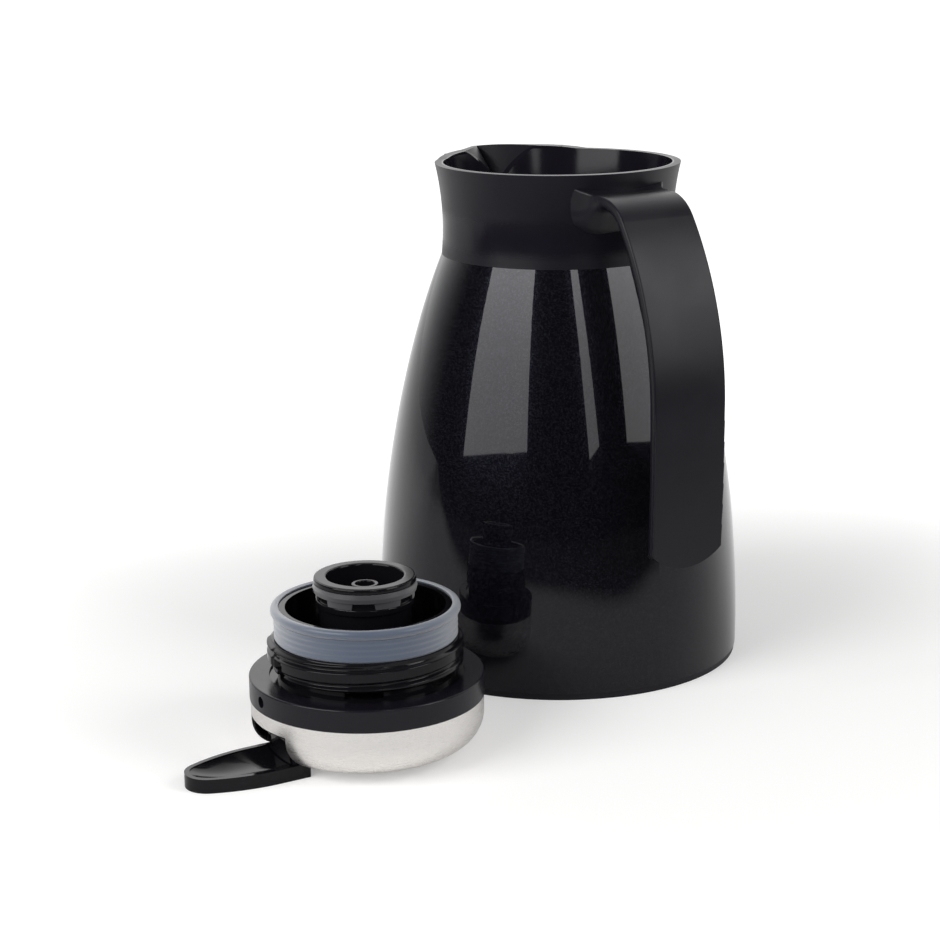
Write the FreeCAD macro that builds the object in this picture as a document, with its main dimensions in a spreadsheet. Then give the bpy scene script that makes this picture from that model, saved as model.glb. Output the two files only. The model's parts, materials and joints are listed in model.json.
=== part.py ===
import FreeCAD, Part
import math
import os
from types import SimpleNamespace

import Sketcher

# A one litre thermal jug with its screw-in pouring stopper taken off and laid upside down beside it.
# Lengths are millimetres and angles are degrees. The jug's axis is Z, its handle points along +X
# and its spout along -X. The stopper's own axis is vertical and its lever points along -Y.

DIMENSIONS = {
    # painted steel body
    "belly_radius": 75.4,
    "belly_height": 12.0,
    "shoulder_rise": 32.5,
    "shoulder_flare": 11.0,
    "shoulder_arc": 317.0,
    "shell_wall": 1.0,
    # base ring, screw-in base cap and the rubber cushion that carries the glass
    "foot_height": 2.5,
    "foot_inset": 0.5,
    "foot_width": 9.0,
    "base_spigot_height": 7.0,
    "base_wall": 2.4,
    "base_web": 18.5,
    "base_cap_lift": 1.2,
    "base_cap_thickness": 3.0,
    "grip_length": 26.0,
    "grip_width": 7.0,
    "grip_depth": 1.4,
    "grip_distance": 34.0,
    "cushion_radius": 18.0,
    "cushion_cup_wall": 2.0,
    "cushion_cup_height": 4.0,
    "cushion_chamfer": 4.0,
    # vacuum glass
    "glass_wall": 1.6,
    "vacuum_gap": 4.5,
    "jacket_gap": 8.4,
    "jacket_bottom": 17.0,
    "jacket_corner": 14.0,
    "jacket_side_arc": 420.0,
    "jacket_shoulder_gap": 5.4,
    "jacket_shoulder_rise": 27.0,
    "jacket_shoulder_arc": 40.0,
    "jacket_neck": 5.0,
    "neck_gap": 4.0,
    "flask_neck_play": 1.5,
    "flask_neck_drop": 2.0,
    "flask_lip": 2.0,
    "gasket_height": 2.0,
    # threaded neck insert under the collar's floor
    "insert_depth": 30.0,
    "insert_wall": 2.2,
    "insert_floor": 5.5,
    "insert_hub_radius": 30.0,
    "insert_hub_height": 3.0,
    "insert_cone_height": 3.0,
    "insert_land_height": 20.0,
    "insert_flange": 1.2,
    "insert_flange_width": 2.9,
    "insert_chamfer": 1.0,
    "insert_floor_chamfer": 2.0,
    "thread_play": 0.8,
    "seal_squeeze": 0.4,
    # collar with its spout
    "rim_height": 204.4,
    "rim_width": 3.4,
    "collar_height": 36.9,
    "collar_wall": 2.4,
    "collar_arc": 114.0,
    "collar_spigot": 7.0,
    "collar_floor": 2.5,
    "collar_ledge": 4.55,
    "mouth_depth": 18.4,
    "mouth_floor_play": 0.5,
    "mouth_step_width": 1.7,
    "mouth_step_height": 2.2,
    "mouth_draft": 2.0,
    "spout_drop": 26.4,
    "spout_root_width": 6.0,
    "spout_length": 17.1,
    "spout_half_angle": 35.0,
    "spout_swell": 1.6,
    "spout_swell_start": 34.0,
    "spout_tip_wall": 3.1,
    "channel_root_width": 5.0,
    # open-ended handle and its moulded root on the collar
    "handle_width": 33.4,
    "handle_thickness": 6.0,
    "handle_edge": 0.8,
    "handle_grip_edge": 4.4,
    "handle_drop": 7.2,
    "root_reach": 4.9,
    "handle_bend_arc": 19.1,
    "handle_knee_arc": 125.6,
    "handle_back_arc": 746.0,
    "handle_bend_angle": 34.8,
    "handle_knee_angle": 1.4,
    "handle_tip": 55.7,
    "handle_tip_bow": 7.0,
    "root_depth": 12.0,
    "root_spread": 5.2,
    "root_drop": 10.2,
    "root_rise": 2.6,
    "root_edge": 10.0,
    # where the stopper lies
    "stopper_x": 67.5,
    "stopper_y": 128.3,
    # brushed steel cap of the stopper
    "dome_inset": 0.3,
    "dome_height": 22.8,
    "dome_corner": 12.0,
    "crown_arc": 145.0,
    "steel_wall": 0.8,
    "notch_top": 17.2,
    "notch_play": 0.7,
    # ring round the stopper
    "mouth_play": 0.8,
    "ring_height": 8.5,
    "ring_ledge": 1.6,
    "ring_hole_radius": 2.1,
    "ring_hole_height": 4.2,
    "ring_edge": 0.6,
    # plastic carrier inside the steel cap
    "carrier_wall": 2.0,
    "carrier_skirt": 6.6,
    "carrier_plate": 2.6,
    "carrier_hole_radius": 13.0,
    "carrier_boss_wall": 2.5,
    "lug_width": 3.0,
    "lug_radius": 3.4,
    # threaded cup of the stopper
    "cup_floor_rise": 0.2,
    "cup_floor": 3.2,
    "cup_flange": 2.1,
    "neck_relief": 1.6,
    "neck_height": 6.5,
    "thread_root_radius": 34.6,
    "thread_ridge": 1.8,
    "thread_taper": 1.0,
    "thread_height": 7.4,
    "seal_seat_step": 2.6,
    "seal_seat_length": 11.3,
    "cup_wall": 2.3,
    "window_width": 14.0,
    "window_height": 5.6,
    "hub_radius": 7.0,
    "hub_height": 9.5,
    "stem_seal_radius": 5.0,
    "stem_seal_depth": 2.0,
    # silicone seal
    "seal_wall": 2.2,
    "seal_lip_swell": 0.7,
    "seal_lip_drop": 2.5,
    "seal_lip_edge": 1.2,
    "seal_cover": 0.9,
    # lever
    "lever_reach": 30.6,
    "lever_heel": 3.0,
    "lever_half_width": 13.5,
    "lever_straight": 12.0,
    "lever_tip_radius": 9.0,
    "lever_height": 5.3,
    "lever_rim": 1.9,
    "lever_floor": 1.7,
    "lever_dish_inset": 4.5,
    "lever_web_width": 13.6,
    "arm_height": 2.8,
    "arm_width": 13.0,
    "arm_overreach": 1.5,
    "fork_play": 0.8,
    "fork_depth": 8.0,
    "pivot_inset": 9.4,
    "pivot_height": 12.4,
    "pivot_boss": 3.2,
    "pin_radius": 1.5,
    # valve
    "stem_radius": 3.0,
    "stem_low": 8.0,
    "retainer_radius": 6.6,
    "retainer_height": 2.2,
    "plunger_rise": 11.4,
    "plunger_radius": 18.9,
    "plunger_band_inset": 0.7,
    "plunger_skirt_inset": 1.0,
    "plunger_length": 25.1,
    "plunger_band_drop": 10.6,
    "plunger_rim": 2.2,
    "plunger_edge": 0.5,
    "plunger_wall": 4.7,
    "plunger_bore_step": 1.4,
    "plunger_step_drop": 10.6,
    "plunger_bore_depth": 14.6,
    "plunger_floor": 3.5,
    "boss_radius": 5.6,
    "boss_height": 2.5,
    "valve_seal_swell": 0.4,
    "valve_seal_height": 3.2,
    "valve_seal_groove": 1.6,
    "seal_tab_height": 2.6,
    "seal_tab_gap": 7.8,
    "seal_tab_flare": 0.5,
    "spring_radius": 9.4,
    "spring_wire": 1.2,
    # clearances and the overrun of every cut
    "fit_play": 0.15,
    "slide_play": 0.05,
    "lever_play": 0.5,
    "seat_play": 0.1,
    "overrun": 2.0,
}
SPRING_TURNS = 6
SPRING_CLOSE_SHARE = 0.4
HALF_TURNS = 2
GAP_STEPS = 24
WINDOWS = 6
SEAL_TAB_COUNT = 6
GRIPS = 2
H_AXIS_INDEX = -1
V_AXIS_INDEX = -2
FULL_TURN = 360.0
HALF = 0.5
# Root of the handle, from inside the collar outwards: shares of its depth, its spread and its drop
ROOT_FLARE_SHARES = (
    (1.0, 1.0, 1.0),
    (0.72, 0.5, 1.0),
    (0.5, 0.18, 0.72),
    (0.25, 0.03, 0.18),
    (0.0, 0.0, 0.0),
)
# How far the spout's sides are hollow, as a share of their length
SPOUT_HOLLOW_SHARE = 0.11

doc = FreeCAD.newDocument("thermal_jug")
sheet = doc.addObject("Spreadsheet::Sheet", "Sizes")
for row, (alias, number) in enumerate(DIMENSIONS.items(), start=1):
    sheet.set(f"A{row}", alias)
    sheet.set(f"B{row}", str(number))
    sheet.setAlias(f"B{row}", alias)
doc.recompute()


class Size:
    """A number together with the sheet expression that gives it, so that sums stay bound."""

    def __init__(self, value, text):
        self.value = value
        self.text = text

    def __add__(self, other):
        other = as_size(other)
        return Size(self.value + other.value, f"({self.text} + {other.text})")

    def __sub__(self, other):
        other = as_size(other)
        return Size(self.value - other.value, f"({self.text} - {other.text})")

    def __mul__(self, other):
        other = as_size(other)
        return Size(self.value * other.value, f"({self.text} * {other.text})")

    def __truediv__(self, other):
        other = as_size(other)
        return Size(self.value / other.value, f"({self.text} / {other.text})")

    def __neg__(self):
        return Size(-self.value, f"(0 - {self.text})")

    __rmul__ = __mul__


def as_size(number):
    """A plain number as a Size with its own text."""
    if isinstance(number, Size):
        return number
    return Size(float(number), repr(float(number)))


def root(size):
    return Size(math.sqrt(size.value), f"sqrt({size.text})")


def sine(angle):
    return Size(math.sin(math.radians(angle.value)), f"sin({angle.text})")


def cosine(angle):
    return Size(math.cos(math.radians(angle.value)), f"cos({angle.text})")


d = SimpleNamespace(**{alias: Size(number, f"Sizes.{alias}") for alias, number in DIMENSIONS.items()})
ZERO = as_size(0)


def arc_drop(arc, rise):
    """How far an arc falls back from its apex over a rise."""
    return arc - root(arc * arc - rise * rise)


def arc_through(drop, rise):
    """Radius of the arc that falls back from its apex by a drop over a rise."""
    return (rise * rise / drop + drop) * HALF


def bind(item, prop, size):
    """Set a property of a feature to a size's expression."""
    item.setExpression(prop, as_size(size).text)


def sketch_on(body, role, name, offset=ZERO):
    """A sketch on one of the body's origin planes, moved along that plane's normal."""
    plane = next(item for item in body.Origin.OriginFeatures if item.Role == role)
    sketch = body.newObject("Sketcher::SketchObject", name)
    sketch.AttachmentSupport = [(plane, "")]
    sketch.MapMode = "FlatFace"
    sketch.AttachmentOffset = FreeCAD.Placement(FreeCAD.Vector(0, 0, offset.value), FreeCAD.Rotation())
    bind(sketch, "AttachmentOffset.Base.z", offset)
    return sketch


def hold(sketch, kind, *where, size):
    """Add a constraint whose datum is bound to a size."""
    index = sketch.addConstraint(Sketcher.Constraint(kind, *where, size.value))
    bind(sketch, f"Constraints[{index}]", size)


def place_point(sketch, end, corner):
    """Fix one end of a segment at a corner given in sizes."""
    for kind, axis_line, size in zip(("DistanceX", "DistanceY"), (V_AXIS_INDEX, H_AXIS_INDEX), corner):
        if size.value == 0:
            sketch.addConstraint(Sketcher.Constraint("PointOnObject", *end, axis_line))
        else:
            hold(sketch, kind, *end, size=size)


def arc_segment(sketch, begin, finish, radius, turn):
    """An arc from begin to finish that turns left or right; returns its two ends in that order."""
    start = FreeCAD.Vector(begin[0].value, begin[1].value)
    stop = FreeCAD.Vector(finish[0].value, finish[1].value)
    chord = stop - start
    side = 1 if turn == "left" else -1
    rise = math.sqrt(radius.value ** 2 - (chord.Length * HALF) ** 2)
    normal = FreeCAD.Vector(-chord.y, chord.x).normalize()
    centre = (start + stop) * HALF + normal * (side * rise)
    first, last = (start, stop) if side > 0 else (stop, start)
    angles = [math.atan2(point.y - centre.y, point.x - centre.x) for point in (first, last)]
    if angles[1] < angles[0]:
        angles[1] += math.tau
    circle = Part.Circle(centre, FreeCAD.Vector(0, 0, 1), radius.value)
    index = sketch.addGeometry(Part.ArcOfCircle(circle, *angles), False)
    hold(sketch, "Radius", index, size=radius)
    return ((index, 1), (index, 2)) if side > 0 else ((index, 2), (index, 1))


def draw(sketch, outline):
    """Draw a closed outline. A step is a corner (x, y), or (x, y, radius, turn) for an arc to it."""
    ends = []
    for index, step in enumerate(outline):
        begin = outline[index - 1][:2]
        if len(step) > 2:
            ends.append(arc_segment(sketch, begin, step[:2], *step[2:]))
        else:
            corners = [FreeCAD.Vector(corner[0].value, corner[1].value) for corner in (begin, step)]
            line = sketch.addGeometry(Part.LineSegment(*corners), False)
            ends.append(((line, 1), (line, 2)))
    for index, step in enumerate(outline):
        following = ends[(index + 1) % len(ends)]
        sketch.addConstraint(Sketcher.Constraint("Coincident", *ends[index][1], *following[0]))
        place_point(sketch, ends[index][1], step[:2])


def draw_circle(sketch, x, y, radius):
    centre = FreeCAD.Vector(x.value, y.value)
    index = sketch.addGeometry(Part.Circle(centre, FreeCAD.Vector(0, 0, 1), radius.value), False)
    hold(sketch, "Radius", index, size=radius)
    place_point(sketch, (index, 3), (x, y))


def box_outline(left, low, right, high):
    return [(left, low), (right, low), (right, high), (left, high)]


def rounded_outline(half_width, low, high, low_corner, high_corner):
    """A rectangle centred across the sketch, with its lower and its upper corners rounded."""
    low_inner = half_width - low_corner
    high_inner = half_width - high_corner
    return [
        (low_inner, low),
        (half_width, low + low_corner, low_corner, "left"),
        (half_width, high - high_corner),
        (high_inner, high, high_corner, "left"),
        (-high_inner, high),
        (-half_width, high - high_corner, high_corner, "left"),
        (-half_width, low + low_corner),
        (-low_inner, low, low_corner, "left"),
    ]


def new_body(name):
    body = doc.addObject("PartDesign::Body", name)
    body.Label = name
    return body


def spin(body, kind, name, outline):
    """Revolve an outline in the XZ plane about the Z axis, as a solid or as a cut."""
    sketch = sketch_on(body, "XZ_Plane", name + "_profile")
    draw(sketch, outline)
    feature = body.newObject(kind, name)
    feature.Profile = sketch
    feature.ReferenceAxis = (sketch, ["V_Axis"])
    feature.Angle = FULL_TURN
    return feature


def turned(name, outline):
    """A body that is one revolved outline."""
    body = new_body(name)
    spin(body, "PartDesign::Revolution", name + "_turning", outline)
    return body


def pad(body, name, sketch, length, both_ways=False):
    feature = body.newObject("PartDesign::Pad", name)
    feature.Profile = sketch
    feature.SideType = "Symmetric" if both_ways else "One side"
    bind(feature, "Length", length)
    return feature


def pocket(body, name, sketch, length=None, both_ways=False, forward=False):
    """Cut a sketch away, by a length or right through, behind the sketch or in front of it."""
    feature = body.newObject("PartDesign::Pocket", name)
    feature.Profile = sketch
    feature.SideType = "Symmetric" if both_ways else "One side"
    feature.Reversed = forward
    if length is None:
        feature.Type = "ThroughAll"
    else:
        bind(feature, "Length", length)
    return feature


def round_about(body, name, feature, count):
    """Repeat a feature evenly about the Z axis."""
    axis = next(item for item in body.Origin.OriginFeatures if item.Role == "Z_Axis")
    pattern = body.newObject("PartDesign::PolarPattern", name)
    pattern.Originals = [feature]
    pattern.Axis = (axis, [""])
    pattern.Angle = FULL_TURN
    pattern.Occurrences = count
    body.Tip = pattern


def loft(body, kind, name, sketches, ruled=True):
    feature = body.newObject(kind, name)
    feature.Profile = sketches[0]
    feature.Sections = sketches[1:]
    feature.Ruled = ruled
    return feature


def on_stopper(body):
    """Stand a piece of the stopper on its place beside the jug."""
    bind(body, "Placement.Base.x", d.stopper_x)
    bind(body, "Placement.Base.y", -d.stopper_y)
    return body


# Heights of the jug, down from its rim
seam_height = d.rim_height - d.collar_height
shoulder_height = seam_height - d.shoulder_rise
collar_floor_height = d.rim_height - d.mouth_depth
insert_low = collar_floor_height - d.insert_depth
liner_mouth = insert_low - d.gasket_height
jacket_top = liner_mouth - d.flask_lip
jacket_neck_height = jacket_top - d.jacket_neck
jacket_shoulder_height = jacket_neck_height - d.jacket_shoulder_rise
handle_top = d.rim_height - d.handle_drop
handle_end = d.handle_tip - d.overrun
rim_stock = d.rim_height + d.spout_swell + d.overrun
base_cap_top = d.base_cap_lift + d.base_cap_thickness

# Radii of the stopper's cup and seals, and of the neck and mouth that take them
seal_seat_radius = d.thread_root_radius - d.seal_seat_step
seal_radius = seal_seat_radius + d.seal_wall
seal_lip_radius = seal_radius + d.seal_lip_swell
well_radius = seal_seat_radius - d.cup_wall
thread_bore = d.thread_root_radius + d.thread_ridge + d.thread_play
seal_bore = seal_lip_radius - d.seal_squeeze
insert_radius = thread_bore + d.insert_wall
flange_radius = insert_radius + d.insert_flange_width
collar_bore = insert_radius + d.fit_play
collar_inner = collar_bore + d.collar_ledge
seam_radius = collar_inner + d.collar_wall + d.shell_wall
mouth_floor_radius = flange_radius + d.mouth_floor_play
mouth_step_radius = mouth_floor_radius + d.mouth_step_width
mouth_radius = mouth_step_radius + d.mouth_draft
rim_radius = mouth_radius + d.rim_width
spout_reach = rim_radius + d.spout_length
handle_start = rim_radius + d.root_reach
ring_radius = mouth_step_radius - d.mouth_play
ring_inner_radius = d.thread_root_radius + d.ring_ledge
dome_radius = ring_radius - d.dome_inset

# Radii of the body, the glass and the valve
shoulder_radius = seam_radius + d.shoulder_flare
belly_arc = arc_through(d.belly_radius - shoulder_radius, shoulder_height - d.belly_height)
shell_foot_radius = d.belly_radius - arc_drop(belly_arc, d.belly_height - d.foot_height)
base_cap_radius = shell_foot_radius - d.base_web
jacket_radius = d.belly_radius - d.shell_wall - d.jacket_gap
shell_beside_jacket = d.belly_radius - arc_drop(belly_arc, jacket_shoulder_height - d.belly_height)
jacket_shoulder_radius = shell_beside_jacket - d.shell_wall - d.jacket_shoulder_gap
plunger_body_radius = d.plunger_radius - d.plunger_band_inset
plunger_bore = d.plunger_radius - d.plunger_wall
plunger_groove = d.plunger_radius - d.valve_seal_groove
valve_seal_radius = d.plunger_radius + d.valve_seal_swell
flask_neck_radius = valve_seal_radius + d.flask_neck_play + d.glass_wall
jacket_neck_radius = flask_neck_radius + d.neck_gap + d.glass_wall
stem_bore = d.stem_radius + d.slide_play

# Heights of the stopper, up from its dome
ring_top = d.dome_height + d.ring_height
cup_floor_height = ring_top + d.cup_floor_rise
neck_top = cup_floor_height + d.neck_height
seal_seat_height = neck_top + d.thread_height
cup_top = seal_seat_height + d.seal_seat_length
plunger_top = cup_top + d.plunger_rise
plunger_floor_height = plunger_top - d.plunger_bore_depth
plunger_floor_low = plunger_floor_height - d.plunger_floor
plunger_groove_top = plunger_top - d.plunger_rim

# Places along the lever, out from the stopper's axis
pivot_distance = dome_radius - d.pivot_inset
lever_root = pivot_distance - d.lever_heel
lever_length = dome_radius + d.lever_reach
lever_dish_start = lever_root + d.lever_dish_inset
lever_notch = d.lever_half_width + d.lever_play
notch_start = lever_root - d.notch_play
fork_slot = (d.stem_radius + d.fork_play) * 2


def body_shell():
    """Drawn steel shell: a long belly arc, a tighter shoulder arc and a plain top edge."""
    return turned("body_shell", [
        (shell_foot_radius, d.foot_height),
        (shoulder_radius, shoulder_height, belly_arc, "left"),
        (seam_radius, seam_height, d.shoulder_arc, "left"),
        (seam_radius - d.shell_wall, seam_height),
        (shoulder_radius - d.shell_wall, shoulder_height, d.shoulder_arc, "right"),
        (shell_foot_radius - d.shell_wall, d.foot_height, belly_arc, "right"),
    ])


def base_ring():
    """Plastic foot ring: a flat foot, a spigot inside the shell and a ledge for the base cap."""
    foot_outer = shell_foot_radius - d.foot_inset
    foot_inner = foot_outer - d.foot_width
    spigot_outer = shell_foot_radius - d.shell_wall - d.fit_play
    spigot_inner = spigot_outer - d.base_wall
    spigot_top = d.foot_height + d.base_spigot_height
    cap_hole = base_cap_radius + d.fit_play
    ledge_top = d.base_cap_lift + d.base_wall
    return turned("base_ring", [
        (foot_inner, ZERO),
        (foot_outer, ZERO),
        (foot_outer, d.foot_height),
        (spigot_outer, d.foot_height),
        (spigot_outer, spigot_top),
        (spigot_inner, spigot_top),
        (spigot_inner, ledge_top),
        (cap_hole, ledge_top),
        (cap_hole, d.base_cap_lift),
        (foot_inner, d.base_cap_lift),
    ])


def base_cap():
    """Screw-in bottom with a cup for the cushion and two finger grips in its underside."""
    cup_inner = d.cushion_radius + d.fit_play
    cup_outer = cup_inner + d.cushion_cup_wall
    cup_top = base_cap_top + d.cushion_cup_height
    body = turned("base_cap", [
        (ZERO, d.base_cap_lift),
        (base_cap_radius, d.base_cap_lift),
        (base_cap_radius, base_cap_top),
        (cup_outer, base_cap_top),
        (cup_outer, cup_top),
        (cup_inner, cup_top),
        (cup_inner, base_cap_top),
        (ZERO, base_cap_top),
    ])
    sketch = sketch_on(body, "XY_Plane", "grip_outline", d.base_cap_lift + d.grip_depth)
    near = d.grip_distance - d.grip_width * HALF
    draw(sketch, box_outline(-d.grip_length * HALF, near, d.grip_length * HALF, near + d.grip_width))
    grip = pocket(body, "grip", sketch, d.grip_depth + d.overrun)
    round_about(body, "grips", grip, GRIPS)
    return body


def base_cushion():
    """Rubber cushion between the base cap and the glass."""
    return turned("base_cushion", [
        (ZERO, base_cap_top),
        (d.cushion_radius, base_cap_top),
        (d.cushion_radius, d.jacket_bottom - d.cushion_chamfer),
        (d.cushion_radius - d.cushion_chamfer, d.jacket_bottom),
        (ZERO, d.jacket_bottom),
    ])


def liner_outer_jacket():
    """Outer glass of the vacuum flask, open at the neck."""
    wall = d.glass_wall
    corner_top = d.jacket_bottom + d.jacket_corner
    flat = jacket_radius - d.jacket_corner
    return turned("liner_outer_jacket", [
        (ZERO, d.jacket_bottom),
        (flat, d.jacket_bottom),
        (jacket_radius, corner_top, d.jacket_corner, "left"),
        (jacket_shoulder_radius, jacket_shoulder_height, d.jacket_side_arc, "left"),
        (jacket_neck_radius, jacket_neck_height, d.jacket_shoulder_arc, "left"),
        (jacket_neck_radius, jacket_top),
        (jacket_neck_radius - wall, jacket_top),
        (jacket_neck_radius - wall, jacket_neck_height),
        (jacket_shoulder_radius - wall, jacket_shoulder_height, d.jacket_shoulder_arc, "right"),
        (jacket_radius - wall, corner_top, d.jacket_side_arc, "right"),
        (flat, d.jacket_bottom + wall, d.jacket_corner - wall, "right"),
        (ZERO, d.jacket_bottom + wall),
    ])


def liner_inner_flask():
    """Inner glass that holds the drink, with the lip that closes the vacuum gap."""
    wall = d.glass_wall
    inset = d.glass_wall + d.vacuum_gap
    low = d.jacket_bottom + inset
    side = jacket_radius - inset
    corner = d.jacket_corner - d.vacuum_gap
    flat = side - corner
    shoulder = jacket_shoulder_radius - inset
    shoulder_top = jacket_shoulder_height - d.flask_neck_drop
    neck_height = jacket_neck_height - d.flask_neck_drop
    neck_inner = flask_neck_radius - wall
    return turned("liner_inner_flask", [
        (ZERO, low),
        (flat, low),
        (side, low + corner, corner, "left"),
        (shoulder, shoulder_top, d.jacket_side_arc, "left"),
        (flask_neck_radius, neck_height, d.jacket_shoulder_arc, "left"),
        (flask_neck_radius, jacket_top),
        (jacket_neck_radius, jacket_top),
        (jacket_neck_radius, liner_mouth),
        (neck_inner, liner_mouth),
        (neck_inner, neck_height),
        (shoulder - wall, shoulder_top, d.jacket_shoulder_arc, "right"),
        (side - wall, low + corner, d.jacket_side_arc, "right"),
        (flat, low + wall, corner - wall, "right"),
        (ZERO, low + wall),
    ])


def neck_gasket():
    """Flat rubber ring between the glass lip and the neck insert."""
    return turned("neck_gasket", box_outline(
        flask_neck_radius, liner_mouth, jacket_neck_radius, insert_low))


def neck_insert():
    """Cup in the neck: bore for the valve seal, land for the main seal, bore for the thread, flange."""
    land_radius = seal_bore + d.insert_wall
    floor_top = insert_low + d.insert_floor
    land_low = insert_low + d.insert_hub_height + d.insert_cone_height
    land_top = insert_low + d.insert_land_height
    step_top = land_top + (thread_bore - seal_bore)
    flange_low = collar_floor_height
    flange_top = flange_low + d.insert_flange
    return turned("neck_insert", [
        (valve_seal_radius, insert_low),
        (d.insert_hub_radius, insert_low),
        (d.insert_hub_radius, insert_low + d.insert_hub_height),
        (land_radius, land_low),
        (land_radius, land_top),
        (insert_radius, step_top),
        (insert_radius, flange_low),
        (flange_radius, flange_low),
        (flange_radius, flange_top),
        (thread_bore + d.insert_chamfer, flange_top),
        (thread_bore, flange_top - d.insert_chamfer),
        (thread_bore, step_top),
        (seal_bore, land_top),
        (seal_bore, floor_top + d.insert_floor_chamfer),
        (seal_bore - d.insert_floor_chamfer, floor_top),
        (valve_seal_radius + d.insert_chamfer, floor_top),
        (valve_seal_radius, floor_top - d.insert_chamfer),
    ])


def spout_root(tip, width):
    """Small triangle in the collar's wall where the spout starts, with its tip on -X."""
    return [(-tip, ZERO), (width - tip, -width), (width - tip, width)]


def spout_mouth(tip, radius):
    """Triangle with its tip on -X whose other corners lie on the rim's circle."""
    back = radius * cosine(d.spout_half_angle)
    width = radius * sine(d.spout_half_angle)
    return [(-tip, ZERO), (-back, -width), (-back, width)]


def hollow_sides(tip, right, left):
    """The triangle of a spout with its two sides by the tip drawn as hollow arcs."""
    across = right[0] - tip[0]
    along = right[1] - tip[1]
    side = root(across * across + along * along)
    arc = arc_through(side * SPOUT_HOLLOW_SHARE, side * HALF)
    return [(*tip, arc, "right"), (*right, arc, "right"), left]


def spout_loft(body, kind, name, low, high, top):
    """Loft through two spout outlines, each given with its height, and straight on to the top."""
    grow = (top - low[0]) / (high[0] - low[0])
    outline = [(a[0] + (b[0] - a[0]) * grow, a[1] + (b[1] - a[1]) * grow) for a, b in zip(low[1], high[1])]
    sketches = []
    for end, (height, corners) in (("foot", low), ("head", (top, outline))):
        sketch = sketch_on(body, "XY_Plane", f"{name}_{end}", height)
        draw(sketch, hollow_sides(*corners))
        sketches.append(sketch)
    return loft(body, kind, name, sketches)


def handle_root(body):
    """Flared root on the collar that ends in the handle's own section."""
    half_width = d.handle_width * HALF
    low = handle_top - d.handle_thickness
    sketches = []
    for index, (depth_share, spread_share, drop_share) in enumerate(ROOT_FLARE_SHARES):
        sketch = sketch_on(body, "YZ_Plane", f"root_section_{index}",
                           handle_start - d.root_depth * depth_share)
        corner = d.handle_grip_edge + (d.root_edge - d.handle_grip_edge) * drop_share
        draw(sketch, rounded_outline(half_width + d.root_spread * spread_share,
                                     low - d.root_drop * drop_share,
                                     handle_top + d.root_rise * spread_share,
                                     corner, d.handle_edge))
        sketches.append(sketch)
    loft(body, "PartDesign::AdditiveLoft", "handle_root", sketches, ruled=False)


def collar():
    """Moulded collar: waisted skirt, mouth with a V-shaped spout, floor ring and handle root."""
    body = new_body("collar")
    spigot_outer = seam_radius - d.shell_wall - d.fit_play
    skirt_top = collar_floor_height - d.collar_floor
    step_height = collar_floor_height + d.mouth_step_height
    spin(body, "PartDesign::Revolution", "collar_turning", [
        (collar_inner, seam_height - d.collar_spigot),
        (spigot_outer, seam_height - d.collar_spigot),
        (spigot_outer, seam_height),
        (seam_radius, seam_height),
        (rim_radius, d.rim_height, d.collar_arc, "right"),
        (rim_radius, rim_stock),
        (mouth_step_radius, rim_stock),
        (mouth_step_radius, step_height),
        (mouth_floor_radius, collar_floor_height),
        (collar_bore, collar_floor_height),
        (collar_bore, skirt_top),
        (collar_inner, skirt_top),
    ])
    handle_root(body)
    spout_loft(body, "PartDesign::AdditiveLoft", "spout",
               (d.rim_height - d.spout_drop, spout_root(seam_radius - d.shell_wall, d.spout_root_width)),
               (d.rim_height, spout_mouth(spout_reach, rim_radius)), rim_stock)
    spin(body, "PartDesign::Groove", "mouth", [
        (collar_bore, collar_floor_height),
        (mouth_floor_radius, collar_floor_height),
        (mouth_step_radius, step_height),
        (mouth_radius, d.rim_height),
        (mouth_radius, rim_stock + d.overrun),
        (ZERO, rim_stock + d.overrun),
        (ZERO, collar_floor_height),
    ])
    spout_loft(body, "PartDesign::SubtractiveLoft", "spout_channel",
               (step_height, spout_root(mouth_step_radius, d.channel_root_width)),
               (d.rim_height, spout_mouth(spout_reach - d.spout_tip_wall, mouth_radius)),
               rim_stock + d.overrun)
    sketch = sketch_on(body, "XZ_Plane", "rim_cut_outline")
    high = rim_stock + d.overrun
    side = spout_reach + d.overrun + d.overrun
    swell_arc = arc_through(d.spout_swell, (spout_reach - d.spout_swell_start) * HALF)
    draw(sketch, [
        (side, d.rim_height),
        (side, high),
        (-side, high),
        (-side, d.rim_height),
        (-spout_reach, d.rim_height),
        (-d.spout_swell_start, d.rim_height, swell_arc, "right"),
    ])
    pocket(body, "rim_cut", sketch, both_ways=True)
    return body


def handle_arcs():
    """Centre, radius and last normal of the handle's three tangent arcs, from its root past its tip."""
    normals = [(cosine(angle), sine(angle)) for angle in (d.handle_bend_angle, d.handle_knee_angle)]
    radii = (d.handle_bend_arc, d.handle_knee_arc, d.handle_back_arc)
    arcs = []
    x, z = handle_start, handle_top
    across, up = ZERO, as_size(1)
    for radius, normal in zip(radii, normals + [None]):
        centre = (x - radius * across, z - radius * up)
        if normal is None:
            up = (handle_end - centre[1]) / radius
            across = root(as_size(1) - up * up)
        else:
            across, up = normal
        x = centre[0] + radius * across
        z = centre[1] + radius * up
        arcs.append((centre, radius, (across, up)))
    return arcs


def handle_profile():
    """Side view of the handle: outer arcs to past the tip, then the inner arcs back to the root."""
    outer = [(handle_start, handle_top)]
    inner = [(handle_start, handle_top - d.handle_thickness)]
    for centre, radius, (across, up) in handle_arcs():
        for side, arc, turn in ((outer, radius, "right"), (inner, radius - d.handle_thickness, "left")):
            side.append((centre[0] + arc * across, centre[1] + arc * up, arc, turn))
    inner.reverse()
    back = [inner[0][:2]]
    back += [(*after[:2], *before[2:]) for before, after in zip(inner, inner[1:])]
    return outer + back


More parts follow.
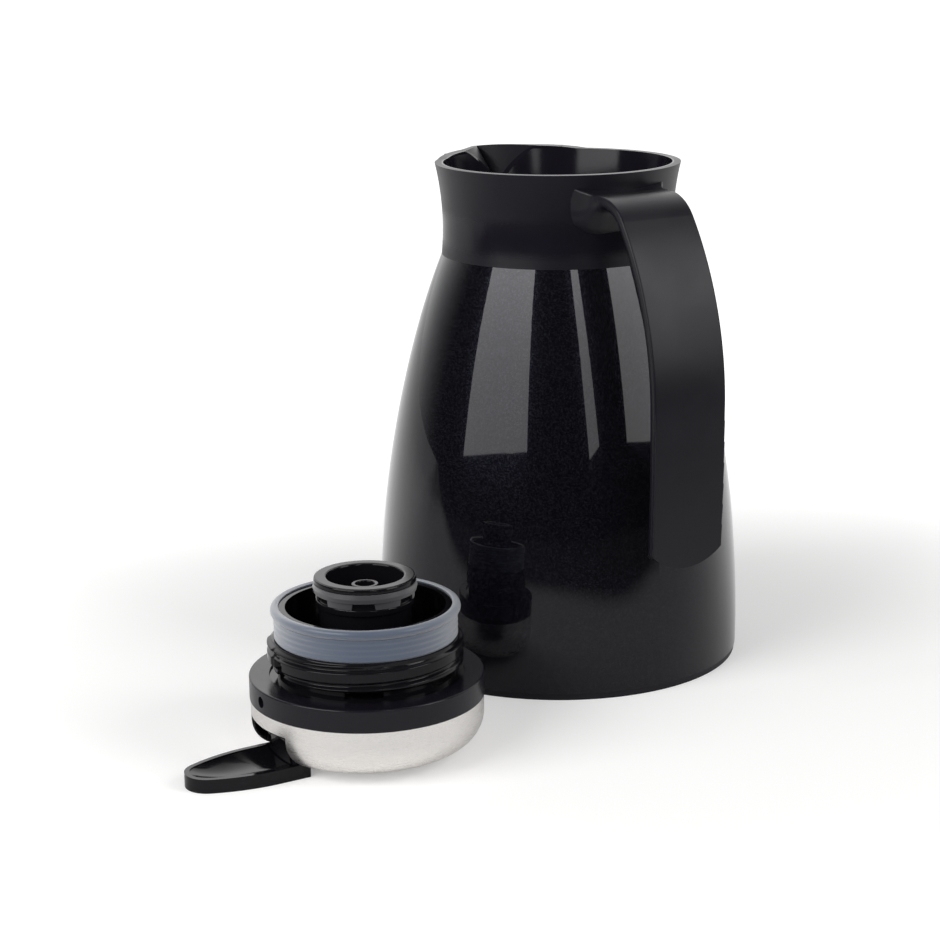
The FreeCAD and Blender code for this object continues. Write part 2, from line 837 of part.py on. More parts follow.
def handle_edge_names(shape, inset):
    """Names of the flank edges that follow the handle's arcs at an inset from its outer face."""
    small = d.seat_play.value
    half_width = d.handle_width.value * HALF
    radii = [radius.value - inset for centre, radius, last in handle_arcs()]
    names = []
    for index, edge in enumerate(shape.Edges, start=1):
        box = edge.BoundBox
        on_flank = box.YLength < small and abs(abs(box.Center.y) - half_width) < small
        if on_flank and isinstance(edge.Curve, Part.Circle):
            if any(abs(edge.Curve.Radius - radius) < small for radius in radii):
                names.append(f"Edge{index}")
    return names


def round_handle(body, name, base, inset, radius):
    """Round the handle's two long edges at an inset from its outer face."""
    doc.recompute()
    fillet = body.newObject("PartDesign::Fillet", name)
    fillet.Base = (base, handle_edge_names(base.Shape, inset))
    bind(fillet, "Radius", radius)
    return fillet


def handle():
    """Open-ended tongue handle: three tangent arcs, rounded towards the fingers, with a bowed free end."""
    body = new_body("handle")
    sketch = sketch_on(body, "XZ_Plane", "handle_side")
    draw(sketch, handle_profile())
    band = pad(body, "handle_band", sketch, d.handle_width, both_ways=True)
    grip = round_handle(body, "handle_grip", band, d.handle_thickness.value, d.handle_grip_edge)
    round_handle(body, "handle_edges", grip, ZERO.value, d.handle_edge)
    half_width = d.handle_width * HALF
    side = half_width + d.overrun
    low = handle_end - d.overrun
    tip_top = d.handle_tip + d.handle_tip_bow
    sketch = sketch_on(body, "YZ_Plane", "tip_outline")
    draw(sketch, [
        (half_width, tip_top, arc_through(d.handle_tip_bow, half_width), "left"),
        (side, tip_top),
        (side, low),
        (-side, low),
        (-side, tip_top),
        (-half_width, tip_top),
    ])
    pocket(body, "tip_cut", sketch, both_ways=True)
    return body


def steel_cap():
    """Pressed steel dome with a notch for the lever."""
    wall = d.steel_wall
    lean = d.crown_arc - d.dome_corner
    corner_x = dome_radius - d.dome_corner
    corner_z = d.crown_arc - root(lean * lean - corner_x * corner_x)
    blend_x = corner_x / lean
    blend_z = (corner_z - d.crown_arc) / lean
    inner = d.dome_corner - wall
    body = turned("steel_cap", [
        (ZERO, ZERO),
        (corner_x + blend_x * d.dome_corner, corner_z + blend_z * d.dome_corner, d.crown_arc, "left"),
        (dome_radius, corner_z, d.dome_corner, "left"),
        (dome_radius, d.dome_height),
        (dome_radius - wall, d.dome_height),
        (dome_radius - wall, corner_z),
        (corner_x + blend_x * inner, corner_z + blend_z * inner, inner, "right"),
        (ZERO, wall, d.crown_arc - wall, "right"),
    ])
    sketch = sketch_on(body, "XZ_Plane", "notch_outline", notch_start)
    draw(sketch, box_outline(-lever_notch, -d.overrun, lever_notch, d.notch_top))
    pocket(body, "notch", sketch, forward=True)
    return on_stopper(body)


def cap_ring():
    """Satin ring round the stopper, with one small hole above the lever."""
    body = turned("cap_ring", [
        (ring_inner_radius, d.dome_height),
        (ring_radius, d.dome_height),
        (ring_radius, ring_top - d.ring_edge),
        (ring_radius - d.ring_edge, ring_top, d.ring_edge, "left"),
        (ring_inner_radius, ring_top),
    ])
    sketch = sketch_on(body, "XZ_Plane", "ring_hole_outline")
    draw_circle(sketch, ZERO, d.dome_height + d.ring_hole_height, d.ring_hole_radius)
    pocket(body, "ring_hole", sketch, forward=True)
    return on_stopper(body)


def cap_carrier():
    """Plastic carrier in the steel cap: plate, skirt, boss under the cup and two lugs for the pin."""
    plate_low = d.dome_height - d.carrier_plate
    skirt_outer = dome_radius - d.steel_wall - d.fit_play
    boss_outer = ring_inner_radius - d.fit_play
    boss_top = cup_floor_height - d.cup_floor
    body = turned("cap_carrier", [
        (d.carrier_hole_radius, plate_low),
        (skirt_outer - d.carrier_wall, plate_low),
        (skirt_outer - d.carrier_wall, d.dome_height - d.carrier_skirt),
        (skirt_outer, d.dome_height - d.carrier_skirt),
        (skirt_outer, d.dome_height),
        (boss_outer, d.dome_height),
        (boss_outer, boss_top),
        (boss_outer - d.carrier_boss_wall, boss_top),
        (boss_outer - d.carrier_boss_wall, d.dome_height),
        (d.carrier_hole_radius, d.dome_height),
    ])
    lug_gap = d.lever_web_width + d.lever_play * 2
    sketch = sketch_on(body, "YZ_Plane", "lug_outline")
    near = -pivot_distance + d.lug_radius
    far = -pivot_distance - d.lug_radius
    lug_top = plate_low + d.carrier_plate * HALF
    draw(sketch, [
        (far, d.pivot_height),
        (-pivot_distance, d.pivot_height - d.lug_radius, d.lug_radius, "left"),
        (near, d.pivot_height, d.lug_radius, "left"),
        (near, lug_top),
        (far, lug_top),
    ])
    pad(body, "lug_block", sketch, lug_gap + d.lug_width * 2, both_ways=True)
    sketch = sketch_on(body, "YZ_Plane", "lug_gap_outline")
    draw(sketch, box_outline(far - d.overrun, d.pivot_height - d.lug_radius - d.overrun,
                             near + d.overrun, plate_low))
    pocket(body, "lug_gap", sketch, lug_gap, both_ways=True)
    sketch = sketch_on(body, "YZ_Plane", "lug_hole_outline")
    draw_circle(sketch, -pivot_distance, d.pivot_height, d.pin_radius + d.slide_play)
    pocket(body, "lug_holes", sketch, both_ways=True)
    return on_stopper(body)


def stopper_cup():
    """Threaded cup: flange, neck with pour windows, thread core, seat for the seal, well and stem hub."""
    floor_low = cup_floor_height - d.cup_floor
    foot_radius = ring_inner_radius - d.fit_play
    hub_top = cup_floor_height + d.hub_height
    neck_radius = d.thread_root_radius - d.neck_relief
    body = turned("stopper_cup", [
        (stem_bore, floor_low),
        (foot_radius, floor_low),
        (foot_radius, floor_low + d.cup_flange),
        (neck_radius, floor_low + d.cup_flange),
        (neck_radius, neck_top),
        (d.thread_root_radius, neck_top + d.thread_taper),
        (d.thread_root_radius, seal_seat_height),
        (seal_seat_radius, seal_seat_height),
        (seal_seat_radius, cup_top),
        (well_radius, cup_top),
        (well_radius, cup_floor_height),
        (d.hub_radius, cup_floor_height),
        (d.hub_radius, hub_top),
        (d.stem_seal_radius, hub_top),
        (d.stem_seal_radius, hub_top - d.stem_seal_depth),
        (stem_bore, hub_top - d.stem_seal_depth),
    ])
    sketch = sketch_on(body, "XZ_Plane", "window_outline", d.hub_radius + d.overrun)
    half_width = d.window_width * HALF
    window_top = cup_floor_height + d.window_height
    draw(sketch, box_outline(-half_width, cup_floor_height, half_width, window_top))
    window = pocket(body, "window", sketch, forward=True)
    round_about(body, "windows", window, WINDOWS)
    return on_stopper(body)


def main_seal():
    """Silicone seal: sleeve on the cup's wall, swollen lip and a flap over the wall's edge."""
    inner = seal_seat_radius + d.seat_play
    low = seal_seat_height
    top = cup_top + d.seal_cover
    edge = d.seal_lip_edge
    return on_stopper(turned("main_seal", [
        (inner, low),
        (seal_radius, low),
        (seal_radius, cup_top - d.seal_lip_drop),
        (seal_lip_radius, cup_top - d.seal_lip_drop + edge * HALF),
        (seal_lip_radius, top - edge),
        (seal_lip_radius - edge, top, edge, "left"),
        (well_radius, top),
        (well_radius, cup_top),
        (inner, cup_top),
    ]))


def lever_plan(inset, start):
    """Leaf-shaped plan of the lever, drawn in by an inset: straight root, curved sides, round tip."""
    half_width = d.lever_half_width - inset
    straight = lever_root + d.lever_straight
    tip = d.lever_tip_radius - inset
    tip_height = lever_length - d.lever_tip_radius
    lean_y = tip_height - straight
    squares = half_width * half_width + lean_y * lean_y - tip * tip
    side_arc = squares / ((half_width - tip) * 2)
    lean_x = half_width - side_arc
    reach = root(lean_x * lean_x + lean_y * lean_y)
    touch_x = -lean_x / reach * tip
    touch_y = lean_y / reach * tip + tip_height
    return [
        (half_width, -start),
        (-half_width, -start),
        (-half_width, -straight),
        (-touch_x, -touch_y, side_arc, "left"),
        (touch_x, -touch_y, tip, "left"),
        (half_width, -straight, side_arc, "left"),
    ]


def lever():
    """Press lever: dished leaf outside the cap, pivot boss on the pin and a fork round the stem."""
    body = new_body("lever")
    sketch = sketch_on(body, "XY_Plane", "leaf_outline")
    draw(sketch, lever_plan(ZERO, lever_root))
    pad(body, "leaf", sketch, d.lever_height)
    sketch = sketch_on(body, "XY_Plane", "dish_outline", d.lever_floor)
    draw(sketch, lever_plan(d.lever_rim, lever_dish_start))
    pocket(body, "dish", sketch, d.lever_height, forward=True)
    sketch = sketch_on(body, "YZ_Plane", "web_outline")
    boss = d.pivot_boss
    draw(sketch, [
        (-lever_dish_start, d.lever_floor),
        (-lever_root, d.lever_floor),
        (-pivot_distance + boss, d.pivot_height),
        (-pivot_distance, d.pivot_height + boss, boss, "left"),
        (-pivot_distance - boss, d.pivot_height, boss, "left"),
    ])
    pad(body, "web", sketch, d.lever_web_width, both_ways=True)
    sketch = sketch_on(body, "YZ_Plane", "arm_outline")
    arm_low = d.stem_low + d.retainer_height + d.lever_play
    draw(sketch, box_outline(-pivot_distance, arm_low, d.arm_overreach, arm_low + d.arm_height))
    pad(body, "arm", sketch, d.arm_width, both_ways=True)
    sketch = sketch_on(body, "XY_Plane", "fork_outline")
    half_slot = fork_slot * HALF
    draw(sketch, box_outline(-half_slot, -d.fork_depth, half_slot, d.arm_overreach + d.overrun))
    pocket(body, "fork", sketch, forward=True)
    sketch = sketch_on(body, "YZ_Plane", "pivot_hole_outline")
    draw_circle(sketch, -pivot_distance, d.pivot_height, d.pin_radius + d.slide_play)
    pocket(body, "pivot_hole", sketch, both_ways=True)
    return on_stopper(body)


def lever_pin():
    """Steel pin across the two lugs."""
    body = new_body("lever_pin")
    sketch = sketch_on(body, "YZ_Plane", "pin_outline")
    draw_circle(sketch, -pivot_distance, d.pivot_height, d.pin_radius)
    pad(body, "pin", sketch, d.lever_web_width + d.lever_play * 2 + d.lug_width * 2, both_ways=True)
    return on_stopper(body)


def valve_stem():
    """Steel stem from the lever's fork to the plunger."""
    return on_stopper(turned("valve_stem", box_outline(
        ZERO, d.stem_low, d.stem_radius, plunger_floor_height)))


def stem_retainer():
    """Clip disc on the end of the stem, which the fork lifts."""
    return on_stopper(turned("stem_retainer", box_outline(
        stem_bore, d.stem_low, d.retainer_radius, d.stem_low + d.retainer_height)))


def stem_seal():
    """Small ring seal round the stem at the top of the hub."""
    hub_top = cup_floor_height + d.hub_height
    return on_stopper(turned("stem_seal", box_outline(
        stem_bore + d.seat_play, hub_top - d.stem_seal_depth, d.stem_seal_radius - d.seat_play, hub_top)))


def valve_plunger():
    """Hollow plunger: skirt over the spring, band, seal groove, rim and stepped bore."""
    groove_low = plunger_groove_top - d.valve_seal_height - d.seal_tab_height - d.seat_play * 2
    skirt_low = plunger_top - d.plunger_length
    skirt_radius = plunger_body_radius - d.plunger_skirt_inset
    band_low = plunger_top - d.plunger_band_drop
    step_height = plunger_top - d.plunger_step_drop
    boss_top = plunger_floor_height + d.boss_height
    edge = d.plunger_edge
    return on_stopper(turned("valve_plunger", [
        (stem_bore, plunger_floor_low),
        (plunger_bore, plunger_floor_low),
        (plunger_bore, skirt_low),
        (skirt_radius, skirt_low),
        (skirt_radius, band_low),
        (plunger_body_radius, band_low),
        (plunger_body_radius, groove_low),
        (plunger_groove, groove_low),
        (plunger_groove, plunger_groove_top),
        (d.plunger_radius, plunger_groove_top),
        (d.plunger_radius, plunger_top - edge),
        (d.plunger_radius - edge, plunger_top),
        (plunger_bore + edge, plunger_top),
        (plunger_bore, plunger_top - edge),
        (plunger_bore, step_height),
        (plunger_bore - d.plunger_bore_step, step_height),
        (plunger_bore - d.plunger_bore_step, plunger_floor_height),
        (d.boss_radius, plunger_floor_height),
        (d.boss_radius, boss_top),
        (stem_bore, boss_top),
    ]))


def valve_seal():
    """Soft ring in the plunger's groove, with tabs below it."""
    inner = plunger_groove + d.seat_play
    top = plunger_groove_top - d.seat_play
    middle = top - d.valve_seal_height * HALF
    low = top - d.valve_seal_height
    tab_low = low - d.seal_tab_height
    body = turned("valve_seal", [
        (inner, tab_low),
        (plunger_body_radius, tab_low),
        (plunger_body_radius, low),
        (d.plunger_radius, low),
        (valve_seal_radius, middle),
        (d.plunger_radius, top),
        (inner, top),
    ])
    sketch = sketch_on(body, "XZ_Plane", "tab_gap_outline", plunger_bore)
    half_top = d.seal_tab_gap * HALF
    half_low = half_top + d.seal_tab_flare
    draw(sketch, [(-half_low, tab_low), (half_low, tab_low), (half_top, low), (-half_top, low)])
    gap = pocket(body, "tab_gap", sketch, forward=True)
    round_about(body, "tab_gaps", gap, SEAL_TAB_COUNT)
    return on_stopper(body)


def spring_point(turn, height):
    """Point and direction of the spring's centre line: a helix whose pitch closes up at both ends."""
    share = turn / SPRING_TURNS
    angle = math.tau * turn
    swing = math.tau * share
    radius = d.spring_radius.value
    lift = height * (share - SPRING_CLOSE_SHARE * math.sin(swing) / math.tau)
    climb = height / SPRING_TURNS * (1 - SPRING_CLOSE_SHARE * math.cos(swing))
    point = FreeCAD.Vector(radius * math.cos(angle), radius * math.sin(angle), lift)
    sweep = radius * math.tau
    heading = FreeCAD.Vector(-sweep * math.sin(angle), sweep * math.cos(angle), climb)
    return point, heading.normalize()


def biarc(start, leave, finish, arrive):
    """Two arcs that join two points and meet smoothly, along a given direction at each point."""
    span = finish - start
    lean = leave + arrive
    open_share = 2 * (1 - leave.dot(arrive))
    root_term = math.sqrt(span.dot(lean) ** 2 + open_share * span.dot(span))
    reach = (root_term - span.dot(lean)) / open_share
    corners = (start + leave * reach, finish - arrive * reach)
    joint = (corners[0] + corners[1]) * HALF
    arcs = []
    for first, corner, last in ((start, corners[0], joint), (joint, corners[1], finish)):
        middle = (first + last) * HALF
        cosine_half = (last - first).Length * HALF / reach
        through = middle + (corner - middle) * (cosine_half / (1 + cosine_half))
        arcs.append(Part.Arc(first, through, last).toShape())
    return arcs


def spring_gap(height):
    """Least gap between the wire and itself, measured on points at least half a turn apart."""
    steps = SPRING_TURNS * GAP_STEPS
    points = [spring_point(step / GAP_STEPS, height)[0] for step in range(steps + 1)]
    apart = GAP_STEPS // HALF_TURNS
    gaps = [(points[a] - points[b]).Length for a in range(steps + 1) for b in range(a + apart, steps + 1)]
    return min(gaps) - d.spring_wire.value


def valve_spring():
    """Return spring between the cup's floor and the plunger: one wire on arcs of a quarter turn."""
    wire = d.spring_wire.value * HALF
    low = cup_floor_height + d.spring_wire * HALF + d.slide_play
    height = (plunger_floor_low - d.spring_wire * HALF - d.slide_play - low).value
    stations = [spring_point(step / HALF_TURNS, height) for step in range(SPRING_TURNS * HALF_TURNS + 1)]
    arcs = [arc for begin, end in zip(stations, stations[1:]) for arc in biarc(*begin, *end)]
    start, heading = stations[0]
    section = Part.Wire(Part.Circle(start, heading, wire).toShape())
    coil = Part.Wire(arcs).makePipeShell([section], True, False)
    spring = doc.addObject("Part::Feature", "valve_spring")
    spring.Label = "valve_spring"
    spring.Shape = coil
    bind(spring, "Placement.Base.z", low)
    print("spring's least gap to itself", round(spring_gap(height), 2))
    return on_stopper(spring)


def build():
    """Make every piece, check the whole document and write one file for each piece."""
    makers = (
        body_shell, base_ring, base_cap, base_cushion, liner_outer_jacket, liner_inner_flask, neck_gasket,
        neck_insert, collar, handle, steel_cap, cap_ring, cap_carrier, stopper_cup, main_seal, lever,
        lever_pin, valve_stem, stem_retainer, stem_seal, valve_plunger, valve_seal, valve_spring)
    pieces = [maker() for maker in makers]
    doc.recompute()
    failed = [item.Name for item in doc.Objects if {"Invalid", "Error"} & set(item.State)]
    failed += [piece.Label for piece in pieces if piece.Shape.isNull() or not piece.Shape.isValid()]
    if failed:
        raise RuntimeError(f"these did not build: {failed}")
    os.makedirs("parts", exist_ok=True)
    for piece in pieces:
        piece.Shape.exportStep(f"parts/{piece.Label}.step")
        print(piece.Label, len(piece.Shape.Solids), round(piece.Shape.Volume), piece.Shape.BoundBox)


build()
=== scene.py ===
import json
import math

import bpy
import numpy as np
from bpy.props import FloatProperty, FloatVectorProperty, PointerProperty
from mathutils import Matrix, Vector


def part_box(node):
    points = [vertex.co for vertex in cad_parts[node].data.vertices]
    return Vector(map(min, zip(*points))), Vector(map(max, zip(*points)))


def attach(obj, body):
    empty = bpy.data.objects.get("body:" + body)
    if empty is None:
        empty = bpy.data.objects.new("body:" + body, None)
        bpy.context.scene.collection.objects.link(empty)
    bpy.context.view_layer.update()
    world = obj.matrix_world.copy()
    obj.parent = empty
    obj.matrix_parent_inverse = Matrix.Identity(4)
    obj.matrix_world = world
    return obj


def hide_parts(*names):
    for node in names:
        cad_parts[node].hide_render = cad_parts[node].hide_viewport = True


bl_info = {
    "name": "Thermal jug",
    "version": (1, 0, 0),
    "blender": (4, 5, 0),
    "location": "View3D > Sidebar > Thermal jug",
    "description": "Finishes a thermal jug and its lever stopper on their CAD frame",
    "category": "Object",
}

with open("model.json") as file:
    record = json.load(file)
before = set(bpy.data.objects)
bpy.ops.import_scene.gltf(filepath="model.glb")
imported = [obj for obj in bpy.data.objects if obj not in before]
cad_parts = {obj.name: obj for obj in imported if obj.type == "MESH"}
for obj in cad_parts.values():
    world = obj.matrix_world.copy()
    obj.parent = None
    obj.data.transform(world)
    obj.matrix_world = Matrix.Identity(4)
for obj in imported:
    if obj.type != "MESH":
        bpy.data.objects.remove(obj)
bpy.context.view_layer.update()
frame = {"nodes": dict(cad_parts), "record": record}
SLOTS = {part["node"]: part["material_slot"] for part in frame["record"]["subparts"]}
STOPPER_LOW, STOPPER_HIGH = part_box("stopper_cup")
STOPPER_X = (STOPPER_LOW.x + STOPPER_HIGH.x) / 2
STOPPER_Y = (STOPPER_LOW.y + STOPPER_HIGH.y) / 2

# Nodes whose finish differs from that of their slot, and nodes whose edges are rounded.
FINISHES = {"collar": "collar_satin", "cap_ring": "ring_satin"}
ROUNDED = ("lever", "valve_plunger")
EDGE_WIDTH = 0.0004
WELD_DISTANCE = 0.000005
BEVEL_ANGLE = math.radians(40)
SHARP_ANGLE = math.radians(50)

# The collar is polished inside its bore; the change takes the width of the bore's edge.
COLLAR_BORE = 0.0468
BORE_EDGE = 0.0006

WHITE = (1, 1, 1, 1)
NUMBER_RESULTS = ("DISTANCE", "DOT_PRODUCT", "LENGTH")
MIX_FACTOR, MIX_FIRST, MIX_SECOND, MIX_RESULT = 0, 6, 7, 2

# Power that gives an area light unit radiance on each square metre.
POWER_PER_AREA = 4.0
SOFTBOXES = (
    {"name": "softbox_left", "azimuth": -45.5, "distance": 1.125, "low": 0.204, "high": 1.2,
     "width": 0.95, "lean": 6, "share": 1.0},
    {"name": "softbox_strip", "azimuth": 19.4, "distance": 1.2, "low": 0.231, "high": 1.2,
     "width": 0.15, "lean": 13, "share": 0.8},
    {"name": "softbox_right", "azimuth": 64, "distance": 1.17, "low": 0.2, "high": 1.2,
     "width": 0.56, "lean": -7, "share": 0.9},
)


class JugLooks(bpy.types.PropertyGroup):
    """Finishes of the jug."""
    paint: FloatVectorProperty(
        name="Paint", description="Colour of the body's blue-black paint",
        subtype="COLOR", size=3, min=0, max=1, default=(0.0030, 0.0029, 0.0052))
    flake: FloatVectorProperty(
        name="Flake", description="Colour of the flakes in the paint",
        subtype="COLOR", size=3, min=0, max=1, default=(0.018, 0.0185, 0.025))
    flake_size: FloatProperty(
        name="Flake size", description="Width of one flake", unit="LENGTH", default=0.00035)
    satin: FloatVectorProperty(
        name="Satin black", description="Colour of the satin plastic",
        subtype="COLOR", size=3, min=0, max=1, default=(0.0066, 0.0060, 0.0092))
    gloss: FloatVectorProperty(
        name="Gloss black", description="Colour of the glossy plastic",
        subtype="COLOR", size=3, min=0, max=1, default=(0.0046, 0.0042, 0.0054))
    rubber: FloatVectorProperty(
        name="Rubber", description="Colour of the rubber pieces",
        subtype="COLOR", size=3, min=0, max=1, default=(0.016, 0.016, 0.017))
    silvering: FloatVectorProperty(
        name="Silvering", description="Colour of the silvered glass",
        subtype="COLOR", size=3, min=0, max=1, default=(0.80, 0.81, 0.82))


class StopperLooks(bpy.types.PropertyGroup):
    """Finishes and fine forms of the stopper."""
    steel: FloatVectorProperty(
        name="Brushed steel", description="Colour of the steel cap",
        subtype="COLOR", size=3, min=0, max=1, default=(0.93, 0.905, 0.88))
    bright_steel: FloatVectorProperty(
        name="Bright steel", description="Colour of stem, pin, clip and spring",
        subtype="COLOR", size=3, min=0, max=1, default=(0.70, 0.70, 0.71))
    seal: FloatVectorProperty(
        name="Seal", description="Colour of the translucent main seal",
        subtype="COLOR", size=3, min=0, max=1, default=(0.105, 0.13, 0.182))
    valve_seal: FloatVectorProperty(
        name="Valve seal", description="Colour of the valve's grey seal",
        subtype="COLOR", size=3, min=0, max=1, default=(0.06, 0.06, 0.066))
    thread_lead: FloatProperty(
        name="Thread lead", description="Rise of the thread in one turn",
        unit="LENGTH", default=0.0061)
    thread_low: FloatProperty(
        name="Thread foot", description="Height of the thread's lower edge",
        unit="LENGTH", default=0.0347)
    thread_top: FloatProperty(
        name="Thread top", description="Height of the thread's upper edge",
        unit="LENGTH", default=0.0453)
    thread_radius: FloatProperty(
        name="Thread radius", description="Radius at the thread's crest",
        unit="LENGTH", default=0.0360)
    thread_depth: FloatProperty(
        name="Thread depth", description="Depth of the groove between the turns",
        unit="LENGTH", default=0.0013)
    rib_depth: FloatProperty(
        name="Seal ribs", description="Height of the fine ribs round the main seal",
        unit="LENGTH", default=0.00016)


class StageLooks(bpy.types.PropertyGroup):
    """Camera, floor and light."""
    turn: FloatProperty(
        name="Camera side", description="Turn from the jug's X axis to the picture's right",
        subtype="ANGLE", default=math.radians(57))
    distance: FloatProperty(
        name="Camera distance", description="From the jug's axis, along the floor",
        unit="LENGTH", default=0.9)
    height: FloatProperty(
        name="Camera height", description="Above the floor", unit="LENGTH", default=0.308467)
    yaw: FloatProperty(
        name="Yaw", description="Turn of the camera to the right", subtype="ANGLE", default=-0.041)
    pitch: FloatProperty(
        name="Pitch", description="Tilt of the camera down", subtype="ANGLE", default=0.254)
    roll: FloatProperty(
        name="Roll", description="Roll of the camera", subtype="ANGLE", default=-0.011)
    lens: FloatProperty(
        name="Lens", description="Focal length in millimetres on a 36 mm frame", default=84.553)
    floor: FloatVectorProperty(
        name="Floor", description="Colour of the pale floor",
        subtype="COLOR", size=3, min=0, max=1, default=(0.80, 0.795, 0.79))
    softbox: FloatProperty(
        name="Softbox", description="Radiance of the softboxes, where 1 is white", default=4.0)


def put(tree, kind, inputs=None, **settings):
    """Add a node, set its options, and set or link its inputs by name or number."""
    node = tree.nodes.new(kind)
    for name, value in settings.items():
        setattr(node, name, value)
    for name, value in (inputs or {}).items():
        if isinstance(value, bpy.types.NodeSocket):
            tree.links.new(value, node.inputs[name])
        else:
            node.inputs[name].default_value = value
    return node


def math_node(tree, operation, *values):
    """Result of an operation on numbers."""
    return put(tree, "ShaderNodeMath", dict(enumerate(values)), operation=operation).outputs[0]


def vector_node(tree, operation, *values):
    """Result of an operation on vectors: a number for lengths, distances and dot products."""
    node = put(tree, "ShaderNodeVectorMath", dict(enumerate(values)), operation=operation)
    return node.outputs["Value" if operation in NUMBER_RESULTS else "Vector"]


def object_place(tree):
    """Place of the shaded point in the shared frame."""
    return put(tree, "ShaderNodeTexCoord").outputs["Object"]


def ramp(tree, factor, low, high, to_low=0.0, to_high=1.0):
    """A value carried smoothly from one range to another."""
    return put(tree, "ShaderNodeMapRange", {"Value": factor, "From Min": low, "From Max": high,
                                            "To Min": to_low, "To Max": to_high},
               interpolation_type="SMOOTHSTEP").outputs["Result"]


def uneven(tree, factor, least, most):
    """A value that goes from least to most as a factor goes from 0 to 1."""
    return ramp(tree, factor, 0.0, 1.0, least, most)


def blend(tree, factor, first, second):
    """Two colours mixed by a factor."""
    node = put(tree, "ShaderNodeMix", {MIX_FACTOR: factor}, data_type="RGBA")
    for index, value in ((MIX_FIRST, first), (MIX_SECOND, second)):
        if isinstance(value, bpy.types.NodeSocket):
            tree.links.new(value, node.inputs[index])
        else:
            node.inputs[index].default_value = (*value[:3], 1.0)
    return node.outputs[MIX_RESULT]


def scaled(colour, share):
    """A colour with each channel multiplied by a share."""
    return [share * channel for channel in colour]


def effect(name, inputs, outputs):
    """An empty shader group with named float inputs and named outputs."""
    tree = bpy.data.node_groups.new(name, "ShaderNodeTree")
    for label, default in inputs.items():
        socket = tree.interface.new_socket(label, in_out="INPUT", socket_type="NodeSocketFloat")
        socket.default_value = default
    for label, kind in outputs.items():
        tree.interface.new_socket(label, in_out="OUTPUT", socket_type=kind)
    given = tree.nodes.new("NodeGroupInput").outputs
    result = tree.nodes.new("NodeGroupOutput").inputs
    return tree, given, result


def noise(tree, place, scale, **shape):
    """Noise over a place, with detail and roughness as given."""
    return put(tree, "ShaderNodeTexNoise",
               {"Vector": place, "Scale": scale, **shape}).outputs["Fac"]


def moulded_grain():
    """Fine grain of moulded plastic: small noise for height, broad noise for cloudy shade."""
    tree, given, result = effect("moulded_grain", {"Scale": 4000.0, "Cloud scale": 40.0},
                                 {"Height": "NodeSocketFloat", "Cloud": "NodeSocketFloat"})
    place = object_place(tree)
    fine = noise(tree, place, given["Scale"], Detail=3.0)
    broad = noise(tree, place, given["Cloud scale"], Detail=4.0)
    tree.links.new(fine, result["Height"])
    tree.links.new(ramp(tree, broad, low=0.3, high=0.7), result["Cloud"])


def handling_marks():
    """Faint wipe marks: stretched noise that lifts roughness in patches."""
    tree, given, result = effect("handling_marks", {"Scale": 30.0}, {"Marks": "NodeSocketFloat"})
    slant = put(tree, "ShaderNodeMapping", {"Vector": object_place(tree),
                                            "Rotation": (0.3, 0.5, 0.8), "Scale": (1, 1, 4)})
    marks = noise(tree, slant.outputs[0], given["Scale"], Detail=6.0, Roughness=0.7)
    tree.links.new(ramp(tree, marks, low=0.45, high=0.75), result["Marks"])


def paint_flakes():
    """Metal flakes: random cells, each with its own brightness and small tilt of the normal."""
    tree, given, result = effect("paint_flakes", {"Scale": 3000.0, "Tilt": 0.2},
                                 {"Sparkle": "NodeSocketFloat", "Normal": "NodeSocketVector"})
    cells = put(tree, "ShaderNodeTexVoronoi", {"Vector": object_place(tree),
                                               "Scale": given["Scale"]}).outputs["Color"]
    centred = vector_node(tree, "SUBTRACT", cells, (0.5, 0.5, 0.5))
    tilt = put(tree, "ShaderNodeVectorMath", {0: centred, "Scale": given["Tilt"]},
               operation="SCALE").outputs["Vector"]
    normal = put(tree, "ShaderNodeNewGeometry").outputs["Normal"]
    leaning = vector_node(tree, "ADD", normal, tilt)
    bright = put(tree, "ShaderNodeSeparateColor", {"Color": cells}).outputs["Red"]
    tree.links.new(math_node(tree, "POWER", bright, 3.0), result["Sparkle"])
    tree.links.new(vector_node(tree, "NORMALIZE", leaning), result["Normal"])


def turned_brushing():
    """Brush lines round the stopper's axis: noise over height and radius, drawn out by the turn."""
    tree, given, result = effect("turned_brushing", {"Lines": 9000.0, "Patches": 9.0},
                                 {"Height": "NodeSocketFloat", "Streaks": "NodeSocketFloat"})
    centred = vector_node(tree, "SUBTRACT", object_place(tree), (STOPPER_X, STOPPER_Y, 0.0))
    x, y, z = put(tree, "ShaderNodeSeparateXYZ", {0: centred}).outputs
    flat = put(tree, "ShaderNodeCombineXYZ", {0: x, 1: y}).outputs[0]
    radius = vector_node(tree, "LENGTH", flat)
    along = math_node(tree, "MULTIPLY", math_node(tree, "ARCTAN2", y, x), given["Patches"])
    across = math_node(tree, "MULTIPLY", math_node(tree, "SUBTRACT", radius, z), given["Lines"])
    spread = put(tree, "ShaderNodeCombineXYZ", {0: along, 1: across}).outputs[0]
    lines = noise(tree, spread, 1.0, Detail=4.0, Roughness=0.7)
    tree.links.new(lines, result["Height"])
    tree.links.new(ramp(tree, lines, low=0.35, high=0.65), result["Streaks"])


def new_material(name):
    """The tree of a new material with a Principled shader, and that shader's inputs."""
    material = bpy.data.materials.new(name + "_finish")
    material.use_nodes = True
    tree = material.node_tree
    shader = next(node for node in tree.nodes if node.type == "BSDF_PRINCIPLED")
    return tree, shader.inputs


def settle(inputs, **values):
    """Set inputs by name, with underscores for spaces."""
    for label, value in values.items():
        inputs[label.replace("_", " ")].default_value = value


def use_effect(tree, name, **values):
    """Place one of the shared groups in a material."""
    node = put(tree, "ShaderNodeGroup", node_tree=bpy.data.node_groups[name])
    settle(node.inputs, **values)
    return node.outputs


